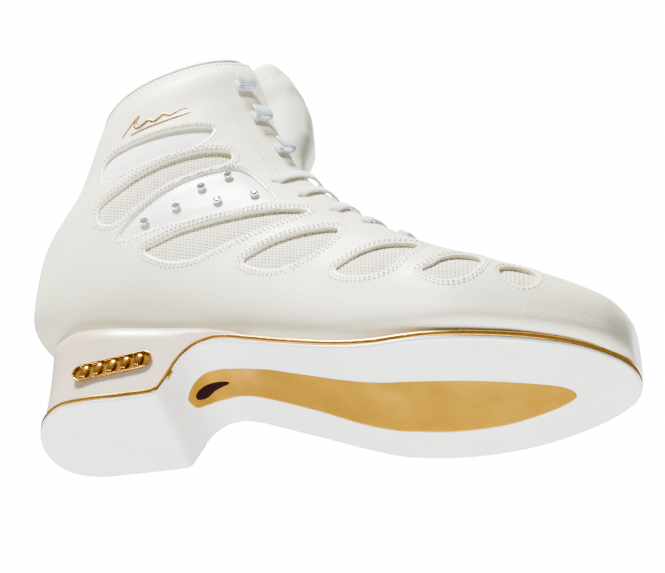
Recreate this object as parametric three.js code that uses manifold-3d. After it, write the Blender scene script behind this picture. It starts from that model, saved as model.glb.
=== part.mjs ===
// A right-hand figure skating boot without its blade.
// Millimetres, +X to the toe, +Y to the inner (medial) side, +Z up, standing on its heel and ball.
import * as THREE from "three";
import { mergeVertices } from "three/addons/utils/BufferGeometryUtils.js";
import Module from "manifold-3d";

const wasm = await Module();
wasm.setup();

// ---- overall sizes -------------------------------------------------------------------------
const BOOT_LENGTH = 268;
const BALL_WIDTH = 84;
const BOOT_HEIGHT = 212;

// ---- walls and layers, measured inwards from the last's surface -----------------------------
const GAP = 0.3;
const SHELL_WALL = 2.0;
const STIFFENER_WALL = 0.8;
const LINING_WALL = 1.2;
const FOOTBED_THICKNESS = 3.2;
const FABRIC_WALL = 0.9;
const FABRIC_RECESS = 0.7;
const PANEL_RECESS = 0.3;
const STIFFENER_TOP = -(SHELL_WALL + GAP);
const STIFFENER_BASE = STIFFENER_TOP - STIFFENER_WALL;
const LINING_TOP = STIFFENER_BASE - GAP;
const LINING_BASE = LINING_TOP - LINING_WALL;
const FOOTBED_TOP = LINING_BASE - GAP;

// ---- sole unit ------------------------------------------------------------------------------
const RIM = 1.8;
const PIPING_RADIUS = 1.4;
const PIPING_PROUD = 0.5;
const BED_RISE = 12;
const INLAY_DEPTH = 1.2;
const INLAY_RECESS = 0.3;
const BREAST_SKEW = THREE.MathUtils.degToRad(5);
const SHANK_WIDTH = 12;
const SHANK_THICKNESS = 1.6;
const ABSORBER_RADIUS = 13;
const ABSORBER_HEIGHT = 13;
const ABSORBER_CENTRE = 34;

// ---- closure --------------------------------------------------------------------------------
const LACE_RADIUS = 1.9;
const EYELET_RADIUS = 2.9;
const EYELET_HALF_SPAN = 23.5;
const EYELET_STATIONS = [5.95, 6.7, 7.55, 8.45, 9.4];
const LACE_RISE = LACE_RADIUS + 1.1;
const LACE_UNDER = LINING_BASE - 4 * GAP - LACE_RADIUS;
const KNOT_RADIUS = 2.6;
const HOOK_PLACES = [{ station: 10.7, inset: 3 }, { station: 12.2, inset: 6 }, { station: 13.45, inset: 8 }];
const HOOK_WIDTH = 5;
const HOOK_SHEET = 0.9;
const CRYSTAL_RADIUS = 2.1;
const CRYSTAL_HEIGHT = 1.5;
const AGLET_RADIUS = 1.4;
const AGLET_LENGTH = 20;
const TONGUE_SPLIT = 9.7;
const TONGUE_WALL = 5;
const LOWER_TONGUE_REACH = 0.68;
const UPPER_TONGUE_REACH = 0.86;
const HANK = { straight: 60, turn: 14, height: 16, centre: 66, tilt: 12, rise: 5.2 };

// ---- colours --------------------------------------------------------------------------------
const WHITE = { color: 0xeceae2, roughness: 0.62, metalness: 0 };
const CREAM = { color: 0xdfd5c8, roughness: 0.38, metalness: 0 };
const SOLE = { color: 0xe4e3e0, roughness: 0.3, metalness: 0 };
const GOLD = { color: 0xc49a4a, roughness: 0.3, metalness: 1 };
const DARK = { color: 0x2d1c1e, roughness: 0.25, metalness: 0 };
const MESH = { color: 0xdcd6c8, roughness: 0.85, metalness: 0 };
const STEEL = { color: 0xaab0b8, roughness: 0.35, metalness: 1 };
const CRYSTAL = { color: 0xf2f6fa, roughness: 0.05, metalness: 0.2 };
const FOAM = { color: 0xd8d2c4, roughness: 0.9, metalness: 0 };

// ---- grading: every point below is drawn on the base last and scaled to the sizes above ------
const GRADE = { x: BOOT_LENGTH / 268, y: BALL_WIDTH / 84, z: BOOT_HEIGHT / 212 };
const TAU = 2 * Math.PI;

// Stations of the last from toe tip to cuff: each is a ring between a point on the sole or heel
// line and a point on the ridge over the instep and shin.
const LAST = {
  soleX: [268, 267, 261, 248, 226, 198, 166, 136, 104, 64.5, 21, -8, -10.5, 0, 4, 5, 5.5],
  soleZ: [14.5, 7, 5, 4.5, 4, 4, 7, 15, 25, 36, 41.5, 65.5, 94.5, 129.5, 160, 187.5, 202],
  ridgeX: [268, 267, 259.5, 246, 224.5, 197, 172, 153.5, 138, 126.5, 118.5, 111, 104, 98.5, 94.5, 91, 87],
  ridgeZ: [15.5, 28.5, 40, 46.5, 55.5, 68, 84.5, 100.5, 115, 128.5, 141.5, 155.5, 170, 186, 200.5, 212, 223],
  outer: [0, 12, 22, 31, 39, 44, 42, 36.5, 33.5, 32, 32.5, 33, 33.5, 33.5, 35, 30, 29.5],
  inner: [0, 12, 22, 30, 37, 40, 34, 28.5, 28, 30, 33, 34, 34, 33, 34, 35.5, 35.5],
  waist: [-0.3, -0.3, -0.4, -0.45, -0.5, -0.5, -0.4, -0.3, -0.2, -0.1, -0.05, 0, 0, 0, 0, 0, 0],
  base: [2.2, 3, 4, 5, 5.5, 5.5, 5, 4.2, 3.4, 2.9, 2.5, 2.3, 2.2, 2.2, 2.2, 2.2, 2.2],
  crown: [2, 2, 2, 2, 2, 2, 2, 2, 2.1, 2.1, 2.1, 2.2, 2.2, 2.2, 2.2, 2.3, 2.3],
  shift: [7, 7, 5, 3, 1, 0, 0, 0, 0, 0, 0, 0, 0, 0, 0, 0, 0],
};
const CUFF = 15;

// Every layer is sampled on these stations and on angles of a full turn over COLUMNS, so that
// neighbouring layers stay parallel.
const STATION_LINES = [0, 0.35, 0.8, 1.4, 2.2, 3.1, 4, 5, 6, 7, 8, 8.8, 9.4, 9.9, 10.3, 10.7, 11.2,
  11.9, 12.8, 13.9, CUFF];
const COLUMNS = 24;

// Half width of the lace opening at stations 4.9 to 16.5.
const THROAT_STATIONS = [4.9, 5.4, 6.2, 8, 9.5, 11, 12, 13, 14, 15, 16.5];
const THROAT_WIDTHS = [2, 6, 11, 13, 13, 12, 12.5, 14, 17, 19, 21];

// Plan of the sole, outer side first, from the back of the heel round the toe and back.
const SOLE_PLAN = [
  [8, 0], [10.8, -8], [17, -17], [27, -23.5], [40, -25.5], [56, -25.5], [66, -25.6], [70, -25.8],
  [74, -26], [79, -26.5], [85, -27.3], [92, -28.2], [110, -31], [130, -34.3], [150, -37.6],
  [170, -40], [190, -40.5], [210, -37.6], [230, -31.8], [248, -22.6], [260, -12], [266, -3],
  [268, 7], [266, 15.5], [260, 22.3], [248, 29.5], [230, 36], [210, 40], [190, 41], [170, 38],
  [150, 32.8], [130, 29.6], [110, 28.8], [92, 28.2], [85, 28], [79, 27.8], [74, 27.7], [70, 27.7],
  [66, 27.8], [56, 28], [40, 28], [25, 27.6], [13.5, 23], [8.2, 14.5], [7.2, 7],
];
// Side view of the sole's underside: flat heel, breast, arch, flat ball and toe spring.
const UNDERSIDE = {
  x: [-20, 68.5, 70.5, 73, 76, 80, 86, 92, 100, 110, 130, 150, 162, 170, 215, 230, 248, 280],
  z: [0, 0, 1, 5.5, 12.5, 18, 21.8, 22.6, 21, 17.3, 9.8, 3.2, 0.7, 0, 0, 0.4, 1.4, 3.4],
};
// Side view of the heel block's upper edge, where it cups the boot.
const HEEL_CREST = [
  [-14, 53], [0, 50.5], [12, 47.5], [28, 44.5], [46, 42.5], [62, 40.2], [85, 35.3], [100, 29.8],
  [109, 24.8], [112, 21],
];
const HEEL_BLOCK_FRONT = 111;
const HEEL_BACK_SLOPE = 0.12;

// Cut-outs in side view, front to back of the boot, the same on both sides.
const WINDOWS = {
  cuff: [[25, 144], [37, 149.5], [58, 154.5], [74, 156], [77.5, 152], [70, 141.5], [52, 136],
    [38, 130], [28, 127], [24, 134]],
  ankle: [[28, 110], [34, 116.5], [46, 126.5], [60, 134], [76, 139], [87.5, 138], [87, 130.5],
    [73, 124.5], [58, 116.5], [45, 104], [37, 98], [29.5, 101]],
  heel: [[56, 79], [62, 82.5], [71, 87], [84, 90.5], [99, 93.5], [114, 95], [128, 94], [130, 91],
    [120, 86], [106, 80], [91, 73.5], [81, 69.5], [70, 70], [61, 74]],
  waist: [[105, 63], [110, 67.5], [119, 72.5], [131, 76], [142, 77.5], [147, 76], [146, 69],
    [142, 62.5], [132, 56.5], [122, 54.5], [111, 58]],
  quarter: [[150, 46], [154, 50], [161, 54.5], [169, 58], [178, 60], [184, 59], [183, 53],
    [179, 45], [174, 38.5], [165, 37.5], [155, 41]],
  ball: [[189, 35], [192.5, 39], [196, 44], [202, 48], [209, 48.5], [212, 43], [210.5, 34.5],
    [206, 28.5], [198, 28]],
  vamp: [[219, 37], [221, 30.5], [225, 26], [230, 25], [233.5, 29], [233.5, 37], [229, 42],
    [222.5, 42]],
};
const CRYSTAL_PANEL = [[42, 89], [50, 103], [64, 116.5], [80, 124.5], [91, 127], [98, 123.5],
  [106, 114], [113, 103], [101, 98.5], [82, 95], [62, 91.5], [46, 87.5]];
const CRYSTALS = [[53.6, 95.5], [67.8, 102.3], [77.9, 113.8], [87.1, 104], [89, 121.5], [103.5, 107]];

// Inlay in the underside of the sole, and the dark window at its heel end, in plan.
const INLAY_PLAN = [[78, 7], [76.4, 0.5], [77, -6], [83.5, -10.5], [97, -11], [110, -14], [120, -16],
  [146, -17.7], [168, -17],
  [188, -14.5], [207, -11], [223, -6.5], [238, 0], [242.5, 7], [238, 12], [226, 17], [208, 21.5],
  [189, 22], [172, 19], [154, 14.5], [134, 9.5], [114, 8], [100, 8.8], [86, 10.8]];
const SOLE_WINDOW_PLAN = [[78.6, 2], [78.6, -1.8], [81, -3.4], [86, -2.8], [91.5, -1.6], [93.4, 0.4],
  [90, 1.6], [86, 2.8], [81.5, 4.6]];
const BADGE = { x: 48.5, z: 19.5, length: 37, height: 8.5, tilt: 7, recess: 1.4, thickness: 1.0 };

// ---- curves ---------------------------------------------------------------------------------
// A monotone cubic through the given points: it never overshoots them.
function monotone(xs, ys) {
  const n = xs.length;
  const slope = [];
  for (let i = 0; i < n - 1; i += 1) slope.push((ys[i + 1] - ys[i]) / (xs[i + 1] - xs[i]));
  const tangent = xs.map((_, i) => {
    if (i === 0) return slope[0];
    if (i === n - 1) return slope[n - 2];
    if (slope[i - 1] * slope[i] <= 0) return 0;
    return (2 * slope[i - 1] * slope[i]) / (slope[i - 1] + slope[i]);
  });
  return (x) => {
    const clamped = Math.min(Math.max(x, xs[0]), xs[n - 1]);
    let i = 0;
    while (i < n - 2 && clamped > xs[i + 1]) i += 1;
    const h = xs[i + 1] - xs[i];
    const u = (clamped - xs[i]) / h;
    const a = (1 + 2 * u) * (1 - u) ** 2 * ys[i] + u * (1 - u) ** 2 * h * tangent[i];
    return a + u * u * (3 - 2 * u) * ys[i + 1] + u * u * (u - 1) * h * tangent[i + 1];
  };
}

const stationNumbers = LAST.soleX.map((_, i) => i);
const lastCurve = {};
for (const [key, values] of Object.entries(LAST)) lastCurve[key] = monotone(stationNumbers, values);
const throatHalfWidth = monotone(THROAT_STATIONS, THROAT_WIDTHS);
const undersideCurve = monotone(UNDERSIDE.x, UNDERSIDE.z);
const undersideZ = (x) => undersideCurve(x / GRADE.x) * GRADE.z;

// A point of the last: station t, and angle 0 at the ridge, 180 degrees at the sole line, with
// angles under 180 on the inner side.
function lastPoint(t, angle) {
  const c = Math.cos(angle);
  const s = Math.sin(angle);
  const power = 2 / lastCurve[c >= 0 ? "crown" : "base"](t);
  const up = Math.abs(c) ** power;
  const side = Math.abs(s) ** power;
  const waist = lastCurve.waist(t);
  const reach = c >= 0 ? waist + (1 - waist) * up : waist - (1 + waist) * up;
  const half = s >= 0 ? lastCurve.inner(t) : -lastCurve.outer(t);
  const [x0, x1] = [lastCurve.soleX(t), lastCurve.ridgeX(t)];
  const [z0, z1] = [lastCurve.soleZ(t), lastCurve.ridgeZ(t)];
  return new THREE.Vector3(
    GRADE.x * ((x0 + x1) / 2 + ((x1 - x0) / 2) * reach),
    GRADE.y * (half * side + lastCurve.shift(t)),
    GRADE.z * ((z0 + z1) / 2 + ((z1 - z0) / 2) * reach),
  );
}

function lastNormal(t, angle) {
  if (t < 0.05) return new THREE.Vector3(1, 0, 0);
  const step = 0.03;
  const high = Math.min(t + step, stationNumbers.length - 1);
  const along = lastPoint(high, angle).sub(lastPoint(t - step, angle));
  const across = lastPoint(t, angle + step).sub(lastPoint(t, angle - step));
  return across.cross(along).normalize();
}

const offsetPoint = (t, angle, distance) =>
  lastPoint(t, angle).addScaledVector(lastNormal(t, angle), distance);

// The angle at which a ring reaches the given distance across from the ridge, on one side.
function angleAt(t, halfWidth, side) {
  let low = 0;
  let high = Math.PI / 2;
  for (let i = 0; i < 30; i += 1) {
    const middle = (low + high) / 2;
    if (side * (lastPoint(t, side * middle).y - GRADE.y * lastCurve.shift(t)) < halfWidth) low = middle;
    else high = middle;
  }
  return side * low;
}

const throatAngle = (t, side) => angleAt(t, throatHalfWidth(t) * GRADE.y, side);

// ---- meshes and solids ----------------------------------------------------------------------
function geometryOf(points, faces) {
  const geometry = new THREE.BufferGeometry();
  geometry.setAttribute("position", new THREE.Float32BufferAttribute(points.flatMap((p) => p.toArray()), 3));
  geometry.setIndex(faces.flat());
  let volume = 0;
  for (const [a, b, c] of faces) volume += points[a].dot(points[b].clone().cross(points[c]));
  if (volume < 0) geometry.setIndex(faces.map(([a, b, c]) => [a, c, b]).flat());
  return geometry;
}

function solidOf(geometry) {
  const bare = geometry.clone();
  bare.deleteAttribute("normal");
  bare.deleteAttribute("uv");
  const merged = mergeVertices(bare, 1e-4);
  const vertProperties = new Float32Array(merged.attributes.position.array);
  const triVerts = new Uint32Array(merged.index.array);
  return new wasm.Manifold(new wasm.Mesh({ numProp: 3, vertProperties, triVerts }));
}

function geometryFrom(solid) {
  const mesh = solid.getMesh();
  const geometry = new THREE.BufferGeometry();
  geometry.setAttribute("position", new THREE.BufferAttribute(new Float32Array(mesh.vertProperties), 3));
  geometry.setIndex(new THREE.BufferAttribute(new Uint32Array(mesh.triVerts), 1));
  return geometry;
}

// Skins a row of rings with equal point counts. The row closes on itself or ends in caps, of
// which the first may rise to a tip.
function skin(rings, closed = false, tip = null) {
  const sides = rings[0].length;
  const points = rings.flat();
  const faces = [];
  const spans = closed ? rings.length : rings.length - 1;
  for (let i = 0; i < spans; i += 1) {
    const next = ((i + 1) % rings.length) * sides;
    for (let j = 0; j < sides; j += 1) {
      const k = (j + 1) % sides;
      faces.push([i * sides + j, next + j, next + k], [i * sides + j, next + k, i * sides + k]);
    }
  }
  if (!closed) {
    const last = (rings.length - 1) * sides;
    const centreOf = (ring) => ring.reduce((sum, p) => sum.add(p), new THREE.Vector3()).divideScalar(sides);
    points.push(tip ?? centreOf(rings[0]), centreOf(rings[rings.length - 1]));
    for (let j = 0; j < sides; j += 1) {
      const k = (j + 1) % sides;
      faces.push([points.length - 2, j, k], [points.length - 1, last + k, last + j]);
    }
  }
  return geometryOf(points, faces);
}

const valueAt = (distance, t, angle) => (typeof distance === "function" ? distance(t, angle) : distance);

const stationsBetween = (from, to) => STATION_LINES.filter((t) => t >= from && t <= to);

// The column lines from one column to another, negative ones on the outer side.
const columnsBetween = (from, to, step = 1) => {
  const angles = [];
  for (let k = from; k <= to; k += step) angles.push((TAU * k) / COLUMNS);
  return angles;
};
const allRound = (step = 1) => columnsBetween(0, COLUMNS - step, step);

// A wall between two distances from the last, over a grid of stations and angles. A full one goes
// all the way round, and from station 0 it closes over the toe.
function wall({ stations, angles, full = false, outer, inner }) {
  const pole = stations[0] === 0;
  const across = angles.length;
  const points = [];
  const faces = [];
  const grids = [outer, inner].map((distance) => stations.slice(pole ? 1 : 0).map((t) =>
    angles.map((angle) => points.push(offsetPoint(t, angle, valueAt(distance, t, angle))) - 1)));
  const quad = (a, b, c, d) => faces.push([a, b, c], [a, c, d]);
  const wraps = full ? across : across - 1;
  grids.forEach((grid, side) => {
    for (let i = 0; i < grid.length - 1; i += 1) {
      for (let j = 0; j < wraps; j += 1) {
        const k = (j + 1) % across;
        if (side === 0) quad(grid[i][j], grid[i][k], grid[i + 1][k], grid[i + 1][j]);
        else quad(grid[i][j], grid[i + 1][j], grid[i + 1][k], grid[i][k]);
      }
    }
    if (pole) {
      const tip = points.push(offsetPoint(0, 0, valueAt(side === 0 ? outer : inner, 0, 0))) - 1;
      for (let j = 0; j < wraps; j += 1) {
        const k = (j + 1) % across;
        faces.push(side === 0 ? [tip, grid[0][k], grid[0][j]] : [tip, grid[0][j], grid[0][k]]);
      }
    }
  });
  const [skinGrid, backGrid] = grids;
  const top = skinGrid.length - 1;
  for (let j = 0; j < wraps; j += 1) {
    const k = (j + 1) % across;
    quad(skinGrid[top][j], skinGrid[top][k], backGrid[top][k], backGrid[top][j]);
    if (!pole) quad(skinGrid[0][k], skinGrid[0][j], backGrid[0][j], backGrid[0][k]);
  }
  if (!full) {
    for (let i = 0; i < top; i += 1) {
      quad(skinGrid[i][0], skinGrid[i + 1][0], backGrid[i + 1][0], backGrid[i][0]);
      quad(skinGrid[i + 1][wraps], skinGrid[i][wraps], backGrid[i][wraps], backGrid[i + 1][wraps]);
    }
  }
  return geometryOf(points, faces);
}

// The whole last as one solid, grown by a distance, from the toe to the cuff.
function lastSolid(distance) {
  const stations = STATION_LINES.slice(1);
  const rings = stations.map((t) => allRound().map((angle) => offsetPoint(t, angle, distance)));
  return solidOf(skin(rings, false, offsetPoint(0, 0, distance)));
}

// Smooth closed outline through hand-set points, as many samples per point as asked.
function outline(points, samples) {
  const curve = new THREE.CatmullRomCurve3(points.map(([a, b]) => new THREE.Vector3(a, b, 0)), true);
  const count = points.length * samples;
  return Array.from({ length: count }, (_, i) => curve.getPoint(i / count));
}

// Moves each point of an outline square to it: inwards for a positive distance.
function inset(points, distance) {
  const n = points.length;
  let area = 0;
  points.forEach((p, i) => {
    const q = points[(i + 1) % n];
    area += p.x * q.y - q.x * p.y;
  });
  return points.map((p, i) => {
    const along = points[(i + 1) % n].clone().sub(points[(i + n - 1) % n]).normalize();
    const shift = distance * Math.sign(area);
    return new THREE.Vector3(p.x - along.y * shift, p.y + along.x * shift, 0);
  });
}

const shapeOf = (points) => new THREE.Shape(points.map((p) => new THREE.Vector2(p.x, p.y)));
const extrude = (points, depth) => new THREE.ExtrudeGeometry(shapeOf(points), { depth, bevelEnabled: false });

// A plan outline pulled up from low to high, and a side outline pulled across from y0 to y1.
const upright = (points, low, high) => solidOf(extrude(points, high - low).translate(0, 0, low));
function crosswise(points, y0, y1) {
  const geometry = extrude(points, y1 - y0);
  geometry.applyMatrix4(new THREE.Matrix4().makeRotationX(Math.PI / 2)).translate(0, y1, 0);
  return solidOf(geometry);
}

const planPoints = (points) => points.map(([x, y]) => [x * GRADE.x, y * GRADE.y]);
const sidePoints = (points) => points.map(([x, z]) => [x * GRADE.x, z * GRADE.z]);

// ---- shared cutters -------------------------------------------------------------------------
const solePlan = outline(planPoints(SOLE_PLAN), 1);
const lastCutter = lastSolid(GAP);

// The layer of the sole unit between two heights over its underside, skewed like the breast.
function soleBand(low, high) {
  const xs = [];
  for (let x = -18; x < 66; x += 28) xs.push(x);
  for (let x = 68; x < 92; x += 3) xs.push(x);
  for (let x = 92; x <= 278; x += 12) xs.push(x);
  const lower = xs.map((x) => new THREE.Vector3(x * GRADE.x, undersideZ(x * GRADE.x) + low, 0));
  const upper = xs.map((x) => new THREE.Vector3(x * GRADE.x, undersideZ(x * GRADE.x) + high, 0));
  const geometry = extrude([...lower, ...upper.reverse()], 160);
  geometry.applyMatrix4(new THREE.Matrix4().makeRotationX(Math.PI / 2)).translate(0, 80, 0);
  const skew = new THREE.Matrix4().makeShear(0, 0, -Math.tan(BREAST_SKEW), 0, 0, 0);
  return solidOf(geometry.applyMatrix4(skew));
}

// Rings round the sole's edge: many-sided for the piping, square for the rebate that it lies in.
function edgeRings(radius, sides) {
  const path = inset(solePlan, PIPING_RADIUS - PIPING_PROUD).map((p) => {
    const skewed = p.x + Math.tan(BREAST_SKEW) * p.y;
    return new THREE.Vector3(p.x, p.y, undersideZ(skewed) + RIM + GAP + PIPING_RADIUS);
  });
  const n = path.length;
  return path.map((centre, i) => {
    const along = path[(i + 1) % n].clone().sub(path[(i + n - 1) % n]).normalize();
    const outward = new THREE.Vector3(along.y, -along.x, 0).normalize();
    const up = outward.clone().cross(along).normalize();
    return Array.from({ length: sides }, (_, k) => {
      const angle = (TAU * (k + 0.5)) / sides;
      const arm = outward.clone().multiplyScalar(Math.cos(angle)).addScaledVector(up, Math.sin(angle));
      return centre.clone().addScaledVector(arm, radius);
    });
  });
}

const pipingRebate = (gap) => solidOf(skin(edgeRings((PIPING_RADIUS + gap) * Math.SQRT2, 4), true));

// The steel shank, or its pocket when grown, under the waist of the last.
function shankSolid(grow, rise) {
  const rings = [];
  for (let x = 54 - grow; x <= 146 + grow; x += (92 + 2 * grow) / 10) {
    const t = stationAtSole(x);
    const z = lastCurve.soleZ(t) * GRADE.z - GAP - 0.2 - SHANK_THICKNESS;
    const y = SHANK_WIDTH / 2 + grow;
    const [low, high] = [z - grow, z + SHANK_THICKNESS + grow + rise];
    const corners = [[-y, low], [y, low], [y, high], [-y, high]];
    rings.push(corners.map(([across, height]) => new THREE.Vector3(x * GRADE.x, across, height)));
  }
  return solidOf(skin(rings));
}

function stationAtSole(x) {
  let low = 4;
  let high = 10;
  for (let i = 0; i < 30; i += 1) {
    const middle = (low + high) / 2;
    if (lastCurve.soleX(middle) > x) low = middle;
    else high = middle;
  }
  return low;
}

function absorberSolid(grow, top) {
  const bottom = lastCurve.soleZ(stationAtSole(ABSORBER_CENTRE)) * GRADE.z - GAP - ABSORBER_HEIGHT;
  const height = top - bottom + grow;
  const geometry = new THREE.CylinderGeometry(ABSORBER_RADIUS + grow, ABSORBER_RADIUS + grow, height, 24);
  geometry.rotateX(Math.PI / 2).translate(ABSORBER_CENTRE * GRADE.x, 0, bottom - grow + height / 2);
  return solidOf(geometry);
}

function badgeSolid(grow, y0, y1) {
  const half = BADGE.length / 2 - BADGE.height / 2;
  const radius = BADGE.height / 2 + grow;
  const tilt = THREE.MathUtils.degToRad(BADGE.tilt);
  const points = [];
  for (const end of [1, -1]) {
    for (let i = 0; i <= 8; i += 1) {
      const angle = (end === 1 ? -Math.PI / 2 : Math.PI / 2) + (Math.PI * i) / 8;
      points.push(new THREE.Vector2(end * half + radius * Math.cos(angle), radius * Math.sin(angle)));
    }
  }
  const centre = new THREE.Vector2(BADGE.x * GRADE.x, BADGE.z * GRADE.z);
  return crosswise(points.map((p) => p.rotateAround(new THREE.Vector2(), tilt).add(centre)), y0, y1);
}

// ---- sole unit and heel ---------------------------------------------------------------------
function outsole() {
  const edge = upright(solePlan, -5, 80).intersect(soleBand(0, RIM));
  const bedInset = 2 * PIPING_RADIUS + GAP - PIPING_PROUD;
  const bedPlan = inset(solePlan, bedInset).filter((p) => p.x > (HEEL_BLOCK_FRONT + 1) * GRADE.x);
  const bed = upright(bedPlan, -5, 80).intersect(soleBand(RIM / 2, RIM + BED_RISE));
  return edge.add(bed).subtract(lastCutter).subtract(pipingRebate(GAP)).subtract(shankSolid(GAP, 6))
    .subtract(inlayPocket());
}

function inlayPocket() {
  const plan = outline(planPoints(INLAY_PLAN), 1);
  return upright(inset(plan, -GAP), -5, 80).intersect(soleBand(-3, INLAY_DEPTH + GAP));
}

function soleInlay() {
  const plan = outline(planPoints(INLAY_PLAN), 1);
  const hole = outline(planPoints(SOLE_WINDOW_PLAN), 2);
  return upright(plan, -5, 80).intersect(soleBand(INLAY_RECESS, INLAY_DEPTH))
    .subtract(upright(hole, -5, 80));
}

function soleWindow() {
  const plan = inset(outline(planPoints(SOLE_WINDOW_PLAN), 2), GAP);
  return upright(plan, -5, 80).intersect(soleBand(INLAY_RECESS + 0.1, INLAY_DEPTH));
}

function heelBlock() {
  const front = HEEL_BLOCK_FRONT * GRADE.x;
  const plan = solePlan.filter((p) => p.x < front);
  const split = plan.findIndex((p) => p.y > 20 * GRADE.y);
  const ordered = [...plan.slice(split), ...plan.slice(0, split)];
  const levels = [-2, 70].map((z) =>
    ordered.map((p) => {
      const lean = HEEL_BACK_SLOPE * z * Math.max(0, 1 - p.x / (40 * GRADE.x));
      return new THREE.Vector3(p.x - lean, p.y * (1 + 0.0006 * z), z);
    }),
  );
  const crest = sidePoints(HEEL_CREST).map(([x, z]) => new THREE.Vector3(x, z, 0));
  const floor = [new THREE.Vector3(front + 6, -10, 0), new THREE.Vector3(-20, -10, 0)];
  return solidOf(skin(levels))
    .intersect(crosswise([...crest, ...floor], -60, 60))
    .subtract(soleBand(-60, RIM + GAP))
    .subtract(lastCutter)
    .subtract(pipingRebate(2.5 * GAP))
    .subtract(shankSolid(GAP, 6))
    .subtract(absorberSolid(GAP, 60))
    .subtract(badgeSolid(GAP, -60, -outerHeelWall() + BADGE.recess));
}

// Distance of the heel's outer wall from the middle plane, at the badge.
function outerHeelWall() {
  return 25.5 * GRADE.y * (1 + 0.0006 * BADGE.z);
}

function heelBadge() {
  const face = -outerHeelWall() + BADGE.recess - GAP;
  return badgeSolid(0, face - BADGE.thickness, face);
}

// ---- upper ----------------------------------------------------------------------------------
function throatCutter() {
  const rings = [];
  for (let i = 0; i <= 24; i += 1) {
    const t = Math.min(4.9 + (11.1 * i) / 24, 16);
    const half = throatHalfWidth(t) * GRADE.y;
    const middle = GRADE.y * lastCurve.shift(t);
    const high = offsetPoint(t, 0, 14);
    const low = offsetPoint(t, 0, -15);
    rings.push([[-half, low], [half, low], [half, high], [-half, high]].map(([y, p]) => {
      return new THREE.Vector3(p.x, middle + y, p.z);
    }));
  }
  return solidOf(skin(rings));
}

const throat = throatCutter();
const SIDES = [["outer", -1], ["inner", 1]];

const windowOutline = (points, shrink) =>
  inset(outline(sidePoints(points), 1), shrink).map((p) => new THREE.Vector2(p.x, p.y));

const windowCutter = (points, shrink, side) => (side < 0
  ? crosswise(windowOutline(points, shrink), -70, -4)
  : crosswise(windowOutline(points, shrink), 4, 70));

const eyeletAngle = (t, side) => angleAt(t, EYELET_HALF_SPAN * GRADE.y, side);

function eyeletCutter(t, side) {
  const angle = eyeletAngle(t, side);
  const geometry = new THREE.CylinderGeometry(EYELET_RADIUS, EYELET_RADIUS, 24, 8);
  const turn = new THREE.Quaternion().setFromUnitVectors(new THREE.Vector3(0, 1, 0), lastNormal(t, angle));
  const centre = offsetPoint(t, angle, -4);
  geometry.applyQuaternion(turn).translate(centre.x, centre.y, centre.z);
  return solidOf(geometry);
}

function punchEyelets(solid) {
  let result = solid;
  for (const t of EYELET_STATIONS) {
    for (const [, side] of SIDES) result = result.subtract(eyeletCutter(t, side));
  }
  return result;
}

function upperShell() {
  const sock = wall({ stations: STATION_LINES, angles: allRound(), full: true, outer: 0,
    inner: -SHELL_WALL });
  let shell = punchEyelets(solidOf(sock).subtract(throat));
  for (const [, side] of SIDES) {
    for (const points of Object.values(WINDOWS)) shell = shell.subtract(windowCutter(points, 0, side));
    shell = shell.subtract(windowCutter(CRYSTAL_PANEL, 0, side));
  }
  return shell;
}

function lining() {
  const sock = wall({ stations: STATION_LINES, angles: allRound(2), full: true, outer: LINING_TOP,
    inner: LINING_BASE });
  return punchEyelets(solidOf(sock).subtract(throat));
}

// The layer just under the outer face, on one side, that the inserts are cut from.
function insertLayer(side, recess) {
  const angles = side < 0 ? columnsBetween(-11, -1) : columnsBetween(1, 11);
  const stations = stationsBetween(3, 14);
  return solidOf(wall({ stations, angles, outer: -recess, inner: -recess - FABRIC_WALL }));
}

function collarRoll() {
  const angles = [throatAngle(CUFF, 1) + 0.02, TAU + throatAngle(CUFF, -1) - 0.02];
  const rings = [];
  const outerReach = 0.5;
  const innerReach = LINING_BASE - 0.4;
  for (let j = 0; j <= 24; j += 1) {
    const angle = angles[0] + ((angles[1] - angles[0]) * j) / 24;
    const middle = (outerReach + innerReach) / 2;
    const half = (outerReach - innerReach) / 2;
    rings.push(Array.from({ length: 6 }, (_, k) => {
      const turn = (TAU * (k + 0.5)) / 6;
      const point = offsetPoint(CUFF, angle, middle + half * Math.cos(turn));
      const rise = lastPoint(16, angle).sub(lastPoint(CUFF, angle)).normalize();
      return point.addScaledVector(rise, GAP + 1.7 + 1.6 * Math.sin(turn));
    }));
  }
  return solidOf(skin(rings));
}

// ---- tongue ---------------------------------------------------------------------------------
const smoothstep = (x) => {
  const u = Math.min(Math.max(x, 0), 1);
  return u * u * (3 - 2 * u);
};

const TONGUE_TOP = 15;
const TONGUE_DEPTH = 9;
const TONGUE_DOME = 0.3;
const tongueCrown = monotone([5, 9.7, 10.4, 11.5, 12.6, 13.5, 14.4, 15],
  [-3.6, -3.4, -0.5, 10.5, 14, 13, 10, 7.5]);
const WING_CLEARANCE = 2.2;
const tongueWing = monotone([5, 6.3, 7.1, 9.6, 10.4, 16],
  [-13.8, -13.8, -10, -10, LINING_BASE - WING_CLEARANCE, LINING_BASE - WING_CLEARANCE]);

// Distance of the tongue's face: proud of the boot in the opening and tucked in beside it.
function tongueFace(t, angle) {
  const across = Math.abs(lastPoint(t, angle).y - GRADE.y * lastCurve.shift(t));
  const slot = throatHalfWidth(t) * GRADE.y;
  const blend = smoothstep((across - (slot - 5.5)) / 5);
  const crown = tongueCrown(t) - Math.max(tongueCrown(t), 0) * TONGUE_DOME * Math.min(across / slot, 1) ** 2;
  return crown + (tongueWing(t) - crown) * blend;
}

const tongueBack = (t, angle) =>
  Math.max(tongueWing(t) - TONGUE_WALL, -16.5, tongueFace(t, angle) - TONGUE_DEPTH);

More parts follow.
